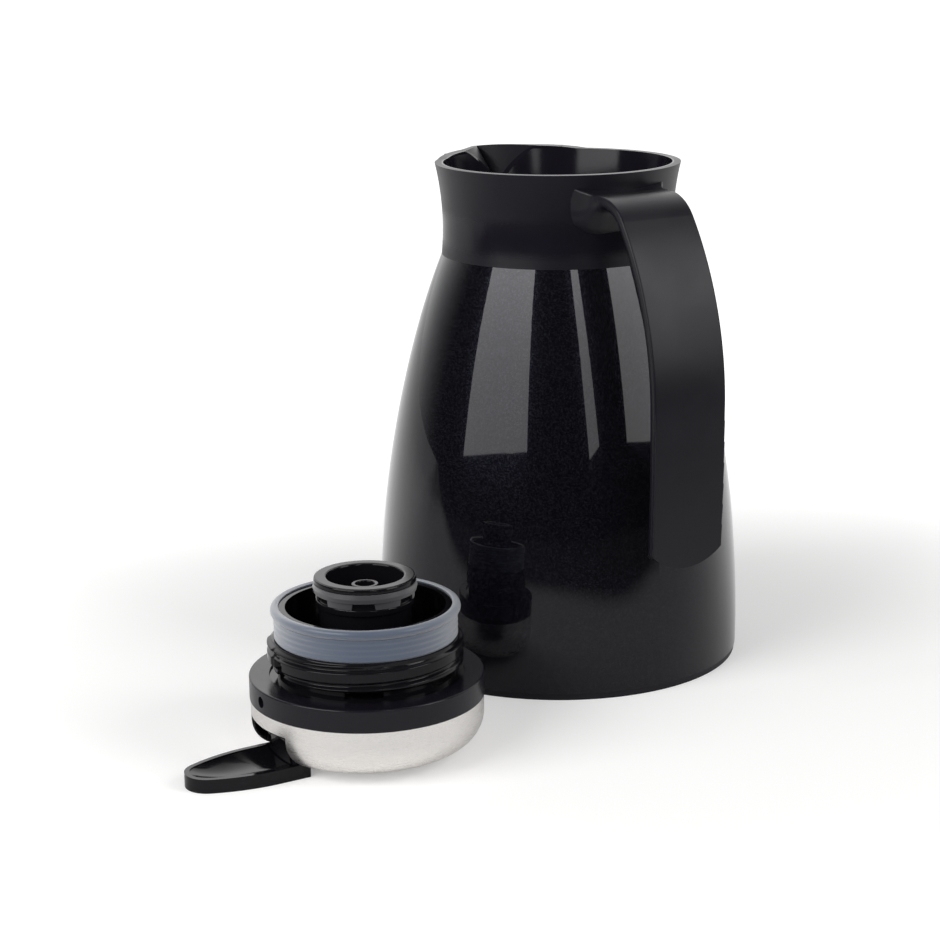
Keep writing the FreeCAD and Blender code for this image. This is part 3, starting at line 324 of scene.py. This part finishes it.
def bumped(tree, height, strength, distance):
    """Normal of a surface raised by a height."""
    return put(tree, "ShaderNodeBump", {"Height": height, "Strength": strength,
                                        "Distance": distance}).outputs[0]


def paint_material(looks):
    """Gloss blue-black paint: dark base with tilted flakes under a clear coat."""
    tree, surface = new_material("body_paint")
    flakes = use_effect(tree, "paint_flakes", Scale=1 / looks.flake_size, Tilt=0.03)
    grain = use_effect(tree, "moulded_grain", Scale=900.0, Cloud_scale=25.0)
    colour = blend(tree, flakes["Sparkle"], looks.paint, looks.flake)
    tree.links.new(colour, surface["Base Color"])
    tree.links.new(uneven(tree, grain["Cloud"], least=0.20, most=0.24), surface["Roughness"])
    tree.links.new(flakes["Normal"], surface["Normal"])
    settle(surface, Metallic=0.5, Specular_IOR_Level=0.0,
           Coat_Weight=1.0, Coat_IOR=1.36, Coat_Roughness=0.03)


def satin_material(looks, name="black_satin", smoothest=0.32, bore=None):
    """Satin moulded plastic; inside a bore round the jug's axis it is polished."""
    tree, surface = new_material(name)
    grain = use_effect(tree, "moulded_grain", Scale=2600.0, Cloud_scale=35.0)
    cloud = math_node(tree, "MULTIPLY", grain["Cloud"], 0.25)
    colour = blend(tree, cloud, looks.satin, scaled(looks.satin, 1.8))
    tree.links.new(colour, surface["Base Color"])
    rough = uneven(tree, grain["Cloud"], least=smoothest, most=smoothest + 0.06)
    if bore:
        flat = vector_node(tree, "MULTIPLY", object_place(tree), (1, 1, 0))
        radius = vector_node(tree, "LENGTH", flat)
        outside = ramp(tree, radius, low=bore, high=bore + BORE_EDGE)
        rough = math_node(tree, "MULTIPLY", rough, uneven(tree, outside, least=0.35, most=1.0))
    tree.links.new(rough, surface["Roughness"])
    tree.links.new(bumped(tree, grain["Height"], strength=0.06, distance=0.0002), surface["Normal"])
    settle(surface, Specular_IOR_Level=0.25)


def gloss_material(looks):
    """Glossy moulded plastic with faint handling marks."""
    tree, surface = new_material("black_gloss")
    grain = use_effect(tree, "moulded_grain", Scale=700.0, Cloud_scale=60.0)
    marks = use_effect(tree, "handling_marks", Scale=35.0)
    cloud = math_node(tree, "MULTIPLY", grain["Cloud"], 0.3)
    colour = blend(tree, cloud, looks.gloss, scaled(looks.gloss, 1.8))
    tree.links.new(colour, surface["Base Color"])
    tree.links.new(uneven(tree, marks["Marks"], least=0.11, most=0.18), surface["Roughness"])
    tree.links.new(bumped(tree, grain["Height"], strength=0.03, distance=0.0003), surface["Normal"])
    settle(surface, Specular_IOR_Level=0.2)


def steel_material(looks):
    """Brushed steel, turned round the stopper's axis."""
    tree, surface = new_material("cap_steel")
    brush = use_effect(tree, "turned_brushing", Lines=9000.0, Patches=9.0)
    marks = use_effect(tree, "handling_marks", Scale=25.0)
    colour = blend(tree, brush["Streaks"], scaled(looks.steel, 0.93), looks.steel)
    tree.links.new(colour, surface["Base Color"])
    rough = math_node(tree, "ADD", uneven(tree, brush["Streaks"], least=0.24, most=0.32),
                      math_node(tree, "MULTIPLY", marks["Marks"], 0.05))
    tree.links.new(rough, surface["Roughness"])
    tree.links.new(bumped(tree, brush["Height"], strength=0.05, distance=0.0001), surface["Normal"])
    settle(surface, Metallic=1.0)


def bright_steel_material(looks):
    """Drawn bright steel with faint marks."""
    tree, surface = new_material("inner_steel")
    marks = use_effect(tree, "handling_marks", Scale=120.0)
    darker = scaled(looks.bright_steel, 0.8)
    tree.links.new(blend(tree, marks["Marks"], looks.bright_steel, darker), surface["Base Color"])
    tree.links.new(uneven(tree, marks["Marks"], least=0.14, most=0.26), surface["Roughness"])
    settle(surface, Metallic=1.0)


def silvered_material(looks):
    """Silvered glass: a clear mirror with a slightly uneven silver layer."""
    tree, surface = new_material("liner_glass")
    grain = use_effect(tree, "moulded_grain", Scale=60.0, Cloud_scale=18.0)
    darker = scaled(looks.silvering, 0.86)
    tree.links.new(blend(tree, grain["Cloud"], looks.silvering, darker), surface["Base Color"])
    tree.links.new(uneven(tree, grain["Cloud"], least=0.03, most=0.07), surface["Roughness"])
    tree.links.new(bumped(tree, grain["Height"], strength=0.05, distance=0.002), surface["Normal"])
    settle(surface, Metallic=1.0, Coat_Weight=1.0)


def silicone_material(name, colour, clear, smoothest, glow):
    """Translucent silicone with a painted glow: its colour turns paler where the eye looks along its
    skin, standing in for light seen through more of it.
    """
    tree, surface = new_material(name)
    grain = use_effect(tree, "moulded_grain", Scale=1500.0, Cloud_scale=50.0)
    facing = put(tree, "ShaderNodeLayerWeight", {"Blend": 0.5}).outputs["Facing"]
    # Painted glow: the colour is paler where the surface is seen at a slant, in place of light
    # coming through the silicone.
    slant_glow = math_node(tree, "MULTIPLY", math_node(tree, "POWER", facing, 1.6),
                      uneven(tree, grain["Cloud"], least=0.92, most=1.0))
    glow_colour = [glow + (1.0 - glow) * channel for channel in colour]
    tree.links.new(blend(tree, slant_glow, colour, glow_colour), surface["Base Color"])
    rough = uneven(tree, grain["Cloud"], least=smoothest, most=smoothest + 0.06)
    tree.links.new(rough, surface["Roughness"])
    tree.links.new(bumped(tree, grain["Height"], strength=0.03, distance=0.0003), surface["Normal"])
    settle(surface, Transmission_Weight=clear, IOR=1.41)


def rubber_material(looks):
    """Dull black rubber."""
    tree, surface = new_material("black_rubber")
    grain = use_effect(tree, "moulded_grain", Scale=1800.0, Cloud_scale=45.0)
    lighter = scaled(looks.rubber, 1.7)
    tree.links.new(blend(tree, grain["Cloud"], looks.rubber, lighter), surface["Base Color"])
    tree.links.new(uneven(tree, grain["Cloud"], least=0.62, most=0.75), surface["Roughness"])
    tree.links.new(bumped(tree, grain["Height"], strength=0.1, distance=0.0003), surface["Normal"])


def grid_piece(name, points, around=True):
    """Quads over a grid of points: first index round the axis, second along a closed outline run
    outside up. Where the first index doesn't close, both ends are capped."""
    first, second = points.shape[:2]
    steps = np.arange(first if around else first - 1)
    u, v = (grid.ravel() for grid in np.meshgrid(steps, np.arange(second), indexing="ij"))
    after_u = (u + 1) % first
    after_v = (v + 1) % second
    corners = ((u, v), (after_u, v), (after_u, after_v), (u, after_v))
    quads = np.stack([a * second + b for a, b in corners], axis=1)
    faces = [tuple(quad) for quad in quads.tolist()]
    if not around:
        faces.append(tuple(range(second)))
        faces.append(tuple(range(first * second - 1, (first - 1) * second - 1, -1)))
    mesh = bpy.data.meshes.new(name)
    mesh.from_pydata(points.reshape(-1, 3).tolist(), [], faces)
    mesh.shade_smooth()
    mesh.set_sharp_from_angle(angle=SHARP_ANGLE)
    piece = bpy.data.objects.new(name, mesh)
    bpy.context.scene.collection.objects.link(piece)
    return piece


def turned(turn, radius, height, x=0.0, y=0.0):
    """Points at a turn, radius and height about a vertical axis."""
    turn, radius, height = np.broadcast_arrays(turn, radius, height)
    return np.stack((x + radius * np.cos(turn), y + radius * np.sin(turn), height), axis=-1)


def stopper_ring(name, radius, height, sides):
    """Outline of radii and heights turned round the stopper's axis."""
    turn = np.linspace(0.0, math.tau, sides, endpoint=False)[:, None]
    return grid_piece(name, turned(turn, radius[None, :], height[None, :], STOPPER_X, STOPPER_Y))


def smooth(value, low, high):
    """Smooth step from 0 at low to 1 at high."""
    share = np.clip((value - low) / (high - low), 0.0, 1.0)
    return share * share * (3.0 - 2.0 * share)


def window(value, rise, fall):
    """1 between two smooth steps, up over the range of the rise and down over that of the fall."""
    return smooth(value, *rise) * (1.0 - smooth(value, *fall))


def soften(piece):
    """Round the sharp edges of a piece by a small width."""
    weld = piece.modifiers.new("weld", "WELD")
    weld.merge_threshold = WELD_DISTANCE
    bevel = piece.modifiers.new("bevel", "BEVEL")
    bevel.width = EDGE_WIDTH
    bevel.segments = 3
    bevel.limit_method = "ANGLE"
    bevel.angle_limit = BEVEL_ANGLE
    normals = piece.modifiers.new("normals", "WEIGHTED_NORMAL")
    normals.keep_sharp = True


def dress(piece, material):
    """Give a piece one finish."""
    piece.data.materials.clear()
    piece.data.materials.append(bpy.data.materials[material + "_finish"])


class JUG_OT_finishes(bpy.types.Operator):
    """Make the shared effects and the materials"""
    bl_idname = "jug.finishes"
    bl_label = "Finishes"

    def execute(self, context):
        jug = context.scene.jug_looks
        stopper = context.scene.stopper_looks
        for make in (moulded_grain, handling_marks, paint_flakes, turned_brushing):
            make()
        paint_material(jug)
        satin_material(jug)
        satin_material(jug, "collar_satin", bore=COLLAR_BORE)
        satin_material(jug, "ring_satin", smoothest=0.2)
        gloss_material(jug)
        rubber_material(jug)
        silvered_material(jug)
        steel_material(stopper)
        bright_steel_material(stopper)
        silicone_material("seal_silicone", stopper.seal, clear=0.25, smoothest=0.3, glow=0.6)
        silicone_material("valve_silicone", stopper.valve_seal, clear=0.2, smoothest=0.34, glow=0.35)
        return {"FINISHED"}


class JUG_OT_nodes(bpy.types.Operator):
    """Give every CAD node its finish and round the edges of the lever and the plunger"""
    bl_idname = "jug.nodes"
    bl_label = "CAD pieces"

    def execute(self, context):
        for name, node in frame["nodes"].items():
            dress(node, FINISHES.get(name, SLOTS[name]))
        # Hidden from reflections, so the paint shows the softbox that the handle would cover.
        frame["nodes"]["handle"].visible_glossy = False
        for name in ROUNDED:
            soften(frame["nodes"][name])
        return {"FINISHED"}


def stopper_thread(looks):
    """Band round the cup whose radius is the crest less a narrow groove that climbs by the lead in
    each turn; its edges are rounded, a slot cuts it at the start of the thread, and a lug stands
    before the slot."""
    turns, rows, inner_rows = 720, 110, 8
    inner = 0.0329
    groove_height, groove_turn = 0.0374, math.radians(28)
    groove_floor, groove_side = 0.0002, 0.0015
    foot_depth, foot_height = 0.0012, 0.0011
    top_depth, top_height = 0.0014, 0.0016
    lug_height, slot_depth = 0.0007, 0.0024
    low, top, lead = looks.thread_low, looks.thread_top, looks.thread_lead
    turn = np.linspace(-math.pi, math.pi, turns, endpoint=False)[:, None]
    height = np.linspace(low, top, rows)[None, :]
    phase = (height - groove_height - lead * (turn + groove_turn) / math.tau) / lead
    off_groove = np.abs(phase - np.round(phase)) * lead
    radius = looks.thread_radius \
        - looks.thread_depth * (1.0 - smooth(off_groove, groove_floor, groove_side)) \
        - foot_depth * (1.0 - smooth(height, low, low + foot_height)) \
        - top_depth * smooth(height, top - top_height, top)
    degrees = np.degrees(turn)
    lug = window(degrees, rise=(-126, -122), fall=(-100, -97)) \
        * window(height, rise=(0.0372, 0.0385), fall=(0.0440, 0.0452))
    slot = window(degrees, rise=(-97, -95.5), fall=(-88, -86.5)) \
        * (1.0 - smooth(height, 0.0400, 0.0410))
    radius = radius + lug_height * lug - slot_depth * slot
    radius = np.concatenate((radius, np.full((turns, inner_rows), inner)), axis=1)
    height = np.concatenate((height, np.linspace(top, low, inner_rows)[None, :]), axis=1)
    return grid_piece("stopper_thread", turned(turn, radius, height, STOPPER_X, STOPPER_Y))


class JUG_OT_stopper_thread(bpy.types.Operator):
    """Wind the thread on the stopper's cup"""
    bl_idname = "jug.stopper_thread"
    bl_label = "Stopper thread"

    def execute(self, context):
        piece = stopper_thread(context.scene.stopper_looks)
        dress(piece, "black_gloss")
        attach(piece, "stopper")
        return {"FINISHED"}


def main_seal(looks):
    """Turned ring: outside a wall with fine ribs as a cosine of the height, above it a swollen
    round lip, and a plain bore."""
    low, high = (corner.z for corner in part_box("main_seal"))
    wall, lip, inner, swell = 0.0340, 0.0351, 0.0321, 0.0018
    rib_pitch, rib_free = 0.0021, 0.0016
    foot_inset, foot_depth, foot_height = 0.0006, 0.0004, 0.0006
    mouth_drop, mouth_width = 0.0004, 0.0005
    foot_points, wall_points, lip_points, bore_points, sides = 4, 120, 33, 24, 320
    shoulder = high - 2 * swell
    side = np.linspace(low, shoulder, wall_points)
    hollow = 0.5 + 0.5 * np.cos((side - low) / rib_pitch * math.tau)
    ribbed = window(side, rise=(low + 0.0008, low + 0.0014), fall=(shoulder - rib_free, shoulder))
    side_radius = wall - looks.rib_depth * hollow * ribbed \
        - foot_depth * (1.0 - smooth(side, low, low + foot_height))
    bend = np.linspace(-0.5 * math.pi, 0.5 * math.pi, lip_points)
    down = np.linspace(high, low, bore_points)
    radius = np.concatenate((np.linspace(inner, wall - foot_inset, foot_points), side_radius,
                             lip - swell + swell * np.cos(bend), np.full(bore_points, inner)))
    height = np.concatenate((np.full(foot_points, low), side, high - swell + swell * np.sin(bend),
                             down - mouth_drop * smooth(down, high - mouth_width, high)))
    return stopper_ring("main_seal_ribbed", radius, height, sides)


class JUG_OT_main_seal(bpy.types.Operator):
    """Turn the main seal with its ribs and swollen lip"""
    bl_idname = "jug.main_seal"
    bl_label = "Main seal"

    def execute(self, context):
        piece = main_seal(context.scene.stopper_looks)
        dress(piece, "seal_silicone")
        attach(piece, "stopper")
        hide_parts("main_seal")
        return {"FINISHED"}


def plunger_boss():
    """Turned ring on the plunger's floor: out, up with a rounded edge, and down its bore."""
    low, high = 0.0555, 0.0648
    outer, bore, edge = 0.0052, 0.0034, 0.0005
    edge_points, sides = 9, 160
    bend = np.linspace(0.0, 0.5 * math.pi, edge_points)
    across, up = edge * np.cos(bend), edge * np.sin(bend)
    radius = np.concatenate(([bore, outer], outer - edge + across, bore + edge - up))
    height = np.concatenate(([low, low], high - edge + up, high - edge + across))
    return stopper_ring("plunger_boss", radius, height, sides)


class JUG_OT_plunger_boss(bpy.types.Operator):
    """Turn the ring on the plunger's floor"""
    bl_idname = "jug.plunger_boss"
    bl_label = "Plunger boss"

    def execute(self, context):
        piece = plunger_boss()
        dress(piece, "black_gloss")
        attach(piece, "valve")
        return {"FINISHED"}


def lever_dish():
    """Filling of the lever's recess whose top is a spoon: its height rises from the middle line as
    a power of the share of the half width, and towards the ends as a power of the share of the
    length. In plan its sides are two arcs and its end a third."""
    tip, middle, start = 0.0720, 0.0550, 0.0362
    floor, brim, under = 0.0017, 0.0048, 0.0016
    power, near_rise = 2.2, 0.35
    side_radius, side_centre, side_inset = 0.0631, 0.043, 0.0515
    end_radius, end_centre, end_start, end_width = 0.0071, 0.065, 0.0678, 0.0006
    overlap = 0.00003
    rows, columns = 90, 61
    out = np.linspace(start, tip, rows)[:, None]
    side = np.sqrt(side_radius ** 2 - np.clip(out - side_centre, 0.0, None) ** 2) - side_inset
    end = np.sqrt(np.clip(end_radius ** 2 - (out - end_centre) ** 2, end_width ** 2, None))
    half = np.where(out < end_start, side, end) + overlap
    across = np.linspace(-1.0, 1.0, columns)[None, :]
    far = np.clip((out - middle) / (tip - middle), 0.0, 1.0)
    near = np.clip((middle - out) / (middle - start), 0.0, 1.0)
    hollow = (1.0 - np.abs(across) ** power) * (1.0 - far ** power) \
        * (1.0 - near_rise * near ** power)
    top = floor + (brim - floor) * (1.0 - hollow)
    x = np.concatenate((half * across, half * across[:, ::-1]), axis=1)
    y = np.broadcast_to(-out, x.shape)
    z = np.concatenate((top, np.full_like(top, under)), axis=1)
    points = np.stack((STOPPER_X + x, STOPPER_Y + y, z), axis=-1)
    return grid_piece("lever_dish", points, around=False)


class JUG_OT_lever_dish(bpy.types.Operator):
    """Shape the dish of the lever"""
    bl_idname = "jug.lever_dish"
    bl_label = "Lever dish"

    def execute(self, context):
        piece = lever_dish()
        dress(piece, "black_gloss")
        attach(piece, "lever")
        return {"FINISHED"}


def neck_thread(looks):
    """Ridge with an elliptic section wound up the neck's bore by the lead, tapered at both ends."""
    bore, start, turns = 0.0372, 0.1795, 1.15
    sunk, half_width, half_height = 0.0003, 0.0014, 0.0006
    taper, end_size = 0.04, 0.05
    steps, sides = 500, 20
    path = np.linspace(0.0, 1.0, steps)[:, None]
    section = np.linspace(0.0, math.tau, sides, endpoint=False)[None, :]
    full = window(path, rise=(0.0, taper), fall=(1.0 - taper, 1.0))
    size = end_size + (1.0 - end_size) * full
    radius = bore + sunk + half_width * size * np.cos(section)
    height = start + looks.thread_lead * turns * path + half_height * size * np.sin(section)
    points = turned(path * turns * math.tau, radius, height)
    return grid_piece("neck_thread", points, around=False)


class JUG_OT_neck_thread(bpy.types.Operator):
    """Wind the thread in the neck insert"""
    bl_idname = "jug.neck_thread"
    bl_label = "Neck thread"

    def execute(self, context):
        piece = neck_thread(context.scene.stopper_looks)
        dress(piece, "black_gloss")
        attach(piece, "jug")
        return {"FINISHED"}


def stage_point(turn, right, away, up):
    """A point from its place in the picture: right, away from the camera, and up."""
    return Vector((right * math.cos(turn) - away * math.sin(turn),
                   right * math.sin(turn) + away * math.cos(turn), up))


def add_camera(looks):
    """Camera whose axes follow from yaw, pitch and roll, turned to its side of the jug."""
    ahead = Vector((math.cos(looks.pitch) * math.sin(looks.yaw),
                    math.cos(looks.pitch) * math.cos(looks.yaw), -math.sin(looks.pitch)))
    level = Vector((math.cos(looks.yaw), -math.sin(looks.yaw), 0.0))
    upright = level.cross(ahead)
    right = math.cos(looks.roll) * level + math.sin(looks.roll) * upright
    up = math.cos(looks.roll) * upright - math.sin(looks.roll) * level
    axes = Matrix((right, up, -ahead)).transposed()
    place = stage_point(looks.turn, 0.0, -looks.distance, looks.height)
    data = bpy.data.cameras.new("camera")
    data.lens = looks.lens
    data.clip_end = 100.0
    camera = bpy.data.objects.new("camera", data)
    facing = Matrix.Rotation(looks.turn, 3, "Z") @ axes
    camera.matrix_world = Matrix.Translation(place) @ facing.to_4x4()
    bpy.context.scene.collection.objects.link(camera)
    bpy.context.scene.camera = camera


def add_softbox(looks, name, azimuth, distance, low, high, width, lean, share):
    """Upright area light on a bearing from the camera's side of the jug, facing the jug's axis; a
    lean in degrees turns it in its own plane, and it falls off towards its foot."""
    fall = 0.42
    bearing = math.radians(azimuth)
    outward = stage_point(looks.turn, math.sin(bearing), -math.cos(bearing), 0.0)
    up = Vector((0.0, 0.0, 1.0))
    axes = Matrix((up.cross(outward), up, outward)).transposed().to_4x4()
    leaning = Matrix.Rotation(math.radians(lean), 4, "Z")
    place = outward * distance + up * ((low + high) / 2)
    data = bpy.data.lights.new(name, "AREA")
    data.shape = "RECTANGLE"
    data.size = width
    data.size_y = high - low
    data.energy = looks.softbox * share * POWER_PER_AREA * width * (high - low)
    data.use_nodes = True
    tree = data.node_tree
    across = put(tree, "ShaderNodeNewGeometry").outputs["Parametric"]
    height = put(tree, "ShaderNodeSeparateXYZ", {0: across}).outputs[1]
    glow = next(node for node in tree.nodes if node.type == "EMISSION")
    strength = uneven(tree, height, least=1.0 - fall, most=1.0 + fall)
    tree.links.new(strength, glow.inputs["Strength"])
    lamp = bpy.data.objects.new(name, data)
    lamp.matrix_world = Matrix.Translation(place) @ axes @ leaning
    lamp.visible_camera = False
    bpy.context.scene.collection.objects.link(lamp)


def add_world(looks):
    """World: white to the camera, even light for diffuse rays, and for reflections bright behind
    the jug, brighter still above, and dark in front."""
    even_light = 0.35
    world = bpy.data.worlds.new("studio")
    bpy.context.scene.world = world
    world.use_nodes = True
    tree = world.node_tree
    tree.nodes.clear()
    front = stage_point(looks.turn, 0.0, -1.0, 0.0)
    way = put(tree, "ShaderNodeTexCoord").outputs["Generated"]
    facing = vector_node(tree, "DOT_PRODUCT", way, front)
    rise = put(tree, "ShaderNodeSeparateXYZ", {0: way}).outputs[2]
    behind = ramp(tree, facing, low=0.0, high=-0.9, to_low=0.03, to_high=1.0)
    above = ramp(tree, rise, low=0.1, high=0.5, to_low=1.0, to_high=2.0)
    mirrored = math_node(tree, "MULTIPLY", behind, above)
    path = put(tree, "ShaderNodeLightPath").outputs
    level = math_node(tree, "ADD", math_node(tree, "MULTIPLY", mirrored, path["Is Glossy Ray"]),
                      math_node(tree, "MULTIPLY", even_light, path["Is Diffuse Ray"]))
    seen = math_node(tree, "MAXIMUM", path["Is Camera Ray"], path["Is Transmission Ray"])
    level = math_node(tree, "MAXIMUM", level, seen)
    shade = put(tree, "ShaderNodeBackground", {"Color": WHITE, "Strength": level})
    put(tree, "ShaderNodeOutputWorld", {"Surface": shade.outputs[0]})


def floor_material(looks):
    """Pale floor that keeps the shadow: camera rays see it lifted to white away from the middle;
    reflections see it fade to black in front, except near the stopper, and lifted at the rear."""
    material = bpy.data.materials.new("pale_floor")
    material.use_nodes = True
    tree = material.node_tree
    tree.nodes.clear()
    front = stage_point(looks.turn, 0.0, -1.0, 0.0)
    middle = stage_point(looks.turn, 0.0, -0.06, 0.0)
    place = object_place(tree)
    path = put(tree, "ShaderNodeLightPath").outputs
    ahead = vector_node(tree, "DOT_PRODUCT", place, front)
    beside = vector_node(tree, "DISTANCE", place, (STOPPER_X, STOPPER_Y, 0.0))
    spread = vector_node(tree, "DISTANCE", place, middle)
    fade = math_node(tree, "MULTIPLY",
                     ramp(tree, ahead, low=0.16, high=0.27, to_low=0.0, to_high=0.9),
                     ramp(tree, beside, low=0.16, high=0.3))
    fade = math_node(tree, "MULTIPLY", path["Is Glossy Ray"], fade)
    speckle = ramp(tree, noise(tree, place, 6.0, Detail=2.0), low=0.3, high=0.7)
    colour = blend(tree, speckle, looks.floor, scaled(looks.floor, 0.985))
    colour = blend(tree, fade, colour, (0.0, 0.0, 0.0))
    diffuse = put(tree, "ShaderNodeBsdfDiffuse", {"Color": colour}).outputs[0]
    lift = math_node(tree, "MULTIPLY", path["Is Camera Ray"],
                     ramp(tree, spread, low=0.14, high=0.5, to_low=0.27, to_high=0.85))
    rear = math_node(tree, "MULTIPLY", path["Is Glossy Ray"],
                     ramp(tree, ahead, low=0.08, high=-0.2, to_low=0.0, to_high=0.45))
    lift = math_node(tree, "ADD", lift, rear)
    glow = put(tree, "ShaderNodeEmission", {"Color": WHITE, "Strength": lift}).outputs[0]
    total = put(tree, "ShaderNodeAddShader", {0: diffuse, 1: glow}).outputs[0]
    put(tree, "ShaderNodeOutputMaterial", {"Surface": total})
    return material


def add_floor(looks):
    """Wide flat floor under the jug and the stopper."""
    half = 8.0
    corners = [(-half, -half, 0), (half, -half, 0), (half, half, 0), (-half, half, 0)]
    mesh = bpy.data.meshes.new("floor")
    mesh.from_pydata(corners, [], [(0, 1, 2, 3)])
    floor = bpy.data.objects.new("floor", mesh)
    mesh.materials.append(floor_material(looks))
    bpy.context.scene.collection.objects.link(floor)


class JUG_OT_stage(bpy.types.Operator):
    """Set the camera, the floor and the studio light"""
    bl_idname = "jug.stage"
    bl_label = "Stage"

    def execute(self, context):
        looks = context.scene.stage_looks
        add_camera(looks)
        add_floor(looks)
        add_world(looks)
        for softbox in SOFTBOXES:
            add_softbox(looks, **softbox)
        context.scene.view_settings.view_transform = "Standard"
        return {"FINISHED"}


class JUG_PT_panel(bpy.types.Panel):
    """Steps that finish the jug, in order"""
    bl_idname = "JUG_PT_panel"
    bl_label = "Thermal jug"
    bl_space_type = "VIEW_3D"
    bl_region_type = "UI"
    bl_category = "Thermal jug"

    def draw(self, context):
        for step in STEPS:
            self.layout.operator(step.bl_idname)


GROUPS = {"jug_looks": JugLooks, "stopper_looks": StopperLooks, "stage_looks": StageLooks}
STEPS = (JUG_OT_finishes, JUG_OT_nodes, JUG_OT_stopper_thread, JUG_OT_main_seal,
         JUG_OT_plunger_boss, JUG_OT_lever_dish, JUG_OT_neck_thread, JUG_OT_stage)


def register():
    for kind in (*GROUPS.values(), *STEPS, JUG_PT_panel):
        bpy.utils.register_class(kind)
    for name, kind in GROUPS.items():
        setattr(bpy.types.Scene, name, PointerProperty(type=kind))


def unregister():
    for name in GROUPS:
        delattr(bpy.types.Scene, name)
    for kind in (JUG_PT_panel, *reversed(STEPS), *reversed(GROUPS.values())):
        bpy.utils.unregister_class(kind)


def main():
    register()
    bpy.ops.jug.finishes()
    bpy.ops.jug.nodes()
    bpy.ops.jug.stopper_thread()
    bpy.ops.jug.main_seal()
    bpy.ops.jug.plunger_boss()
    bpy.ops.jug.lever_dish()
    bpy.ops.jug.neck_thread()
    bpy.ops.jug.stage()


if __name__ == "__main__":
    main()
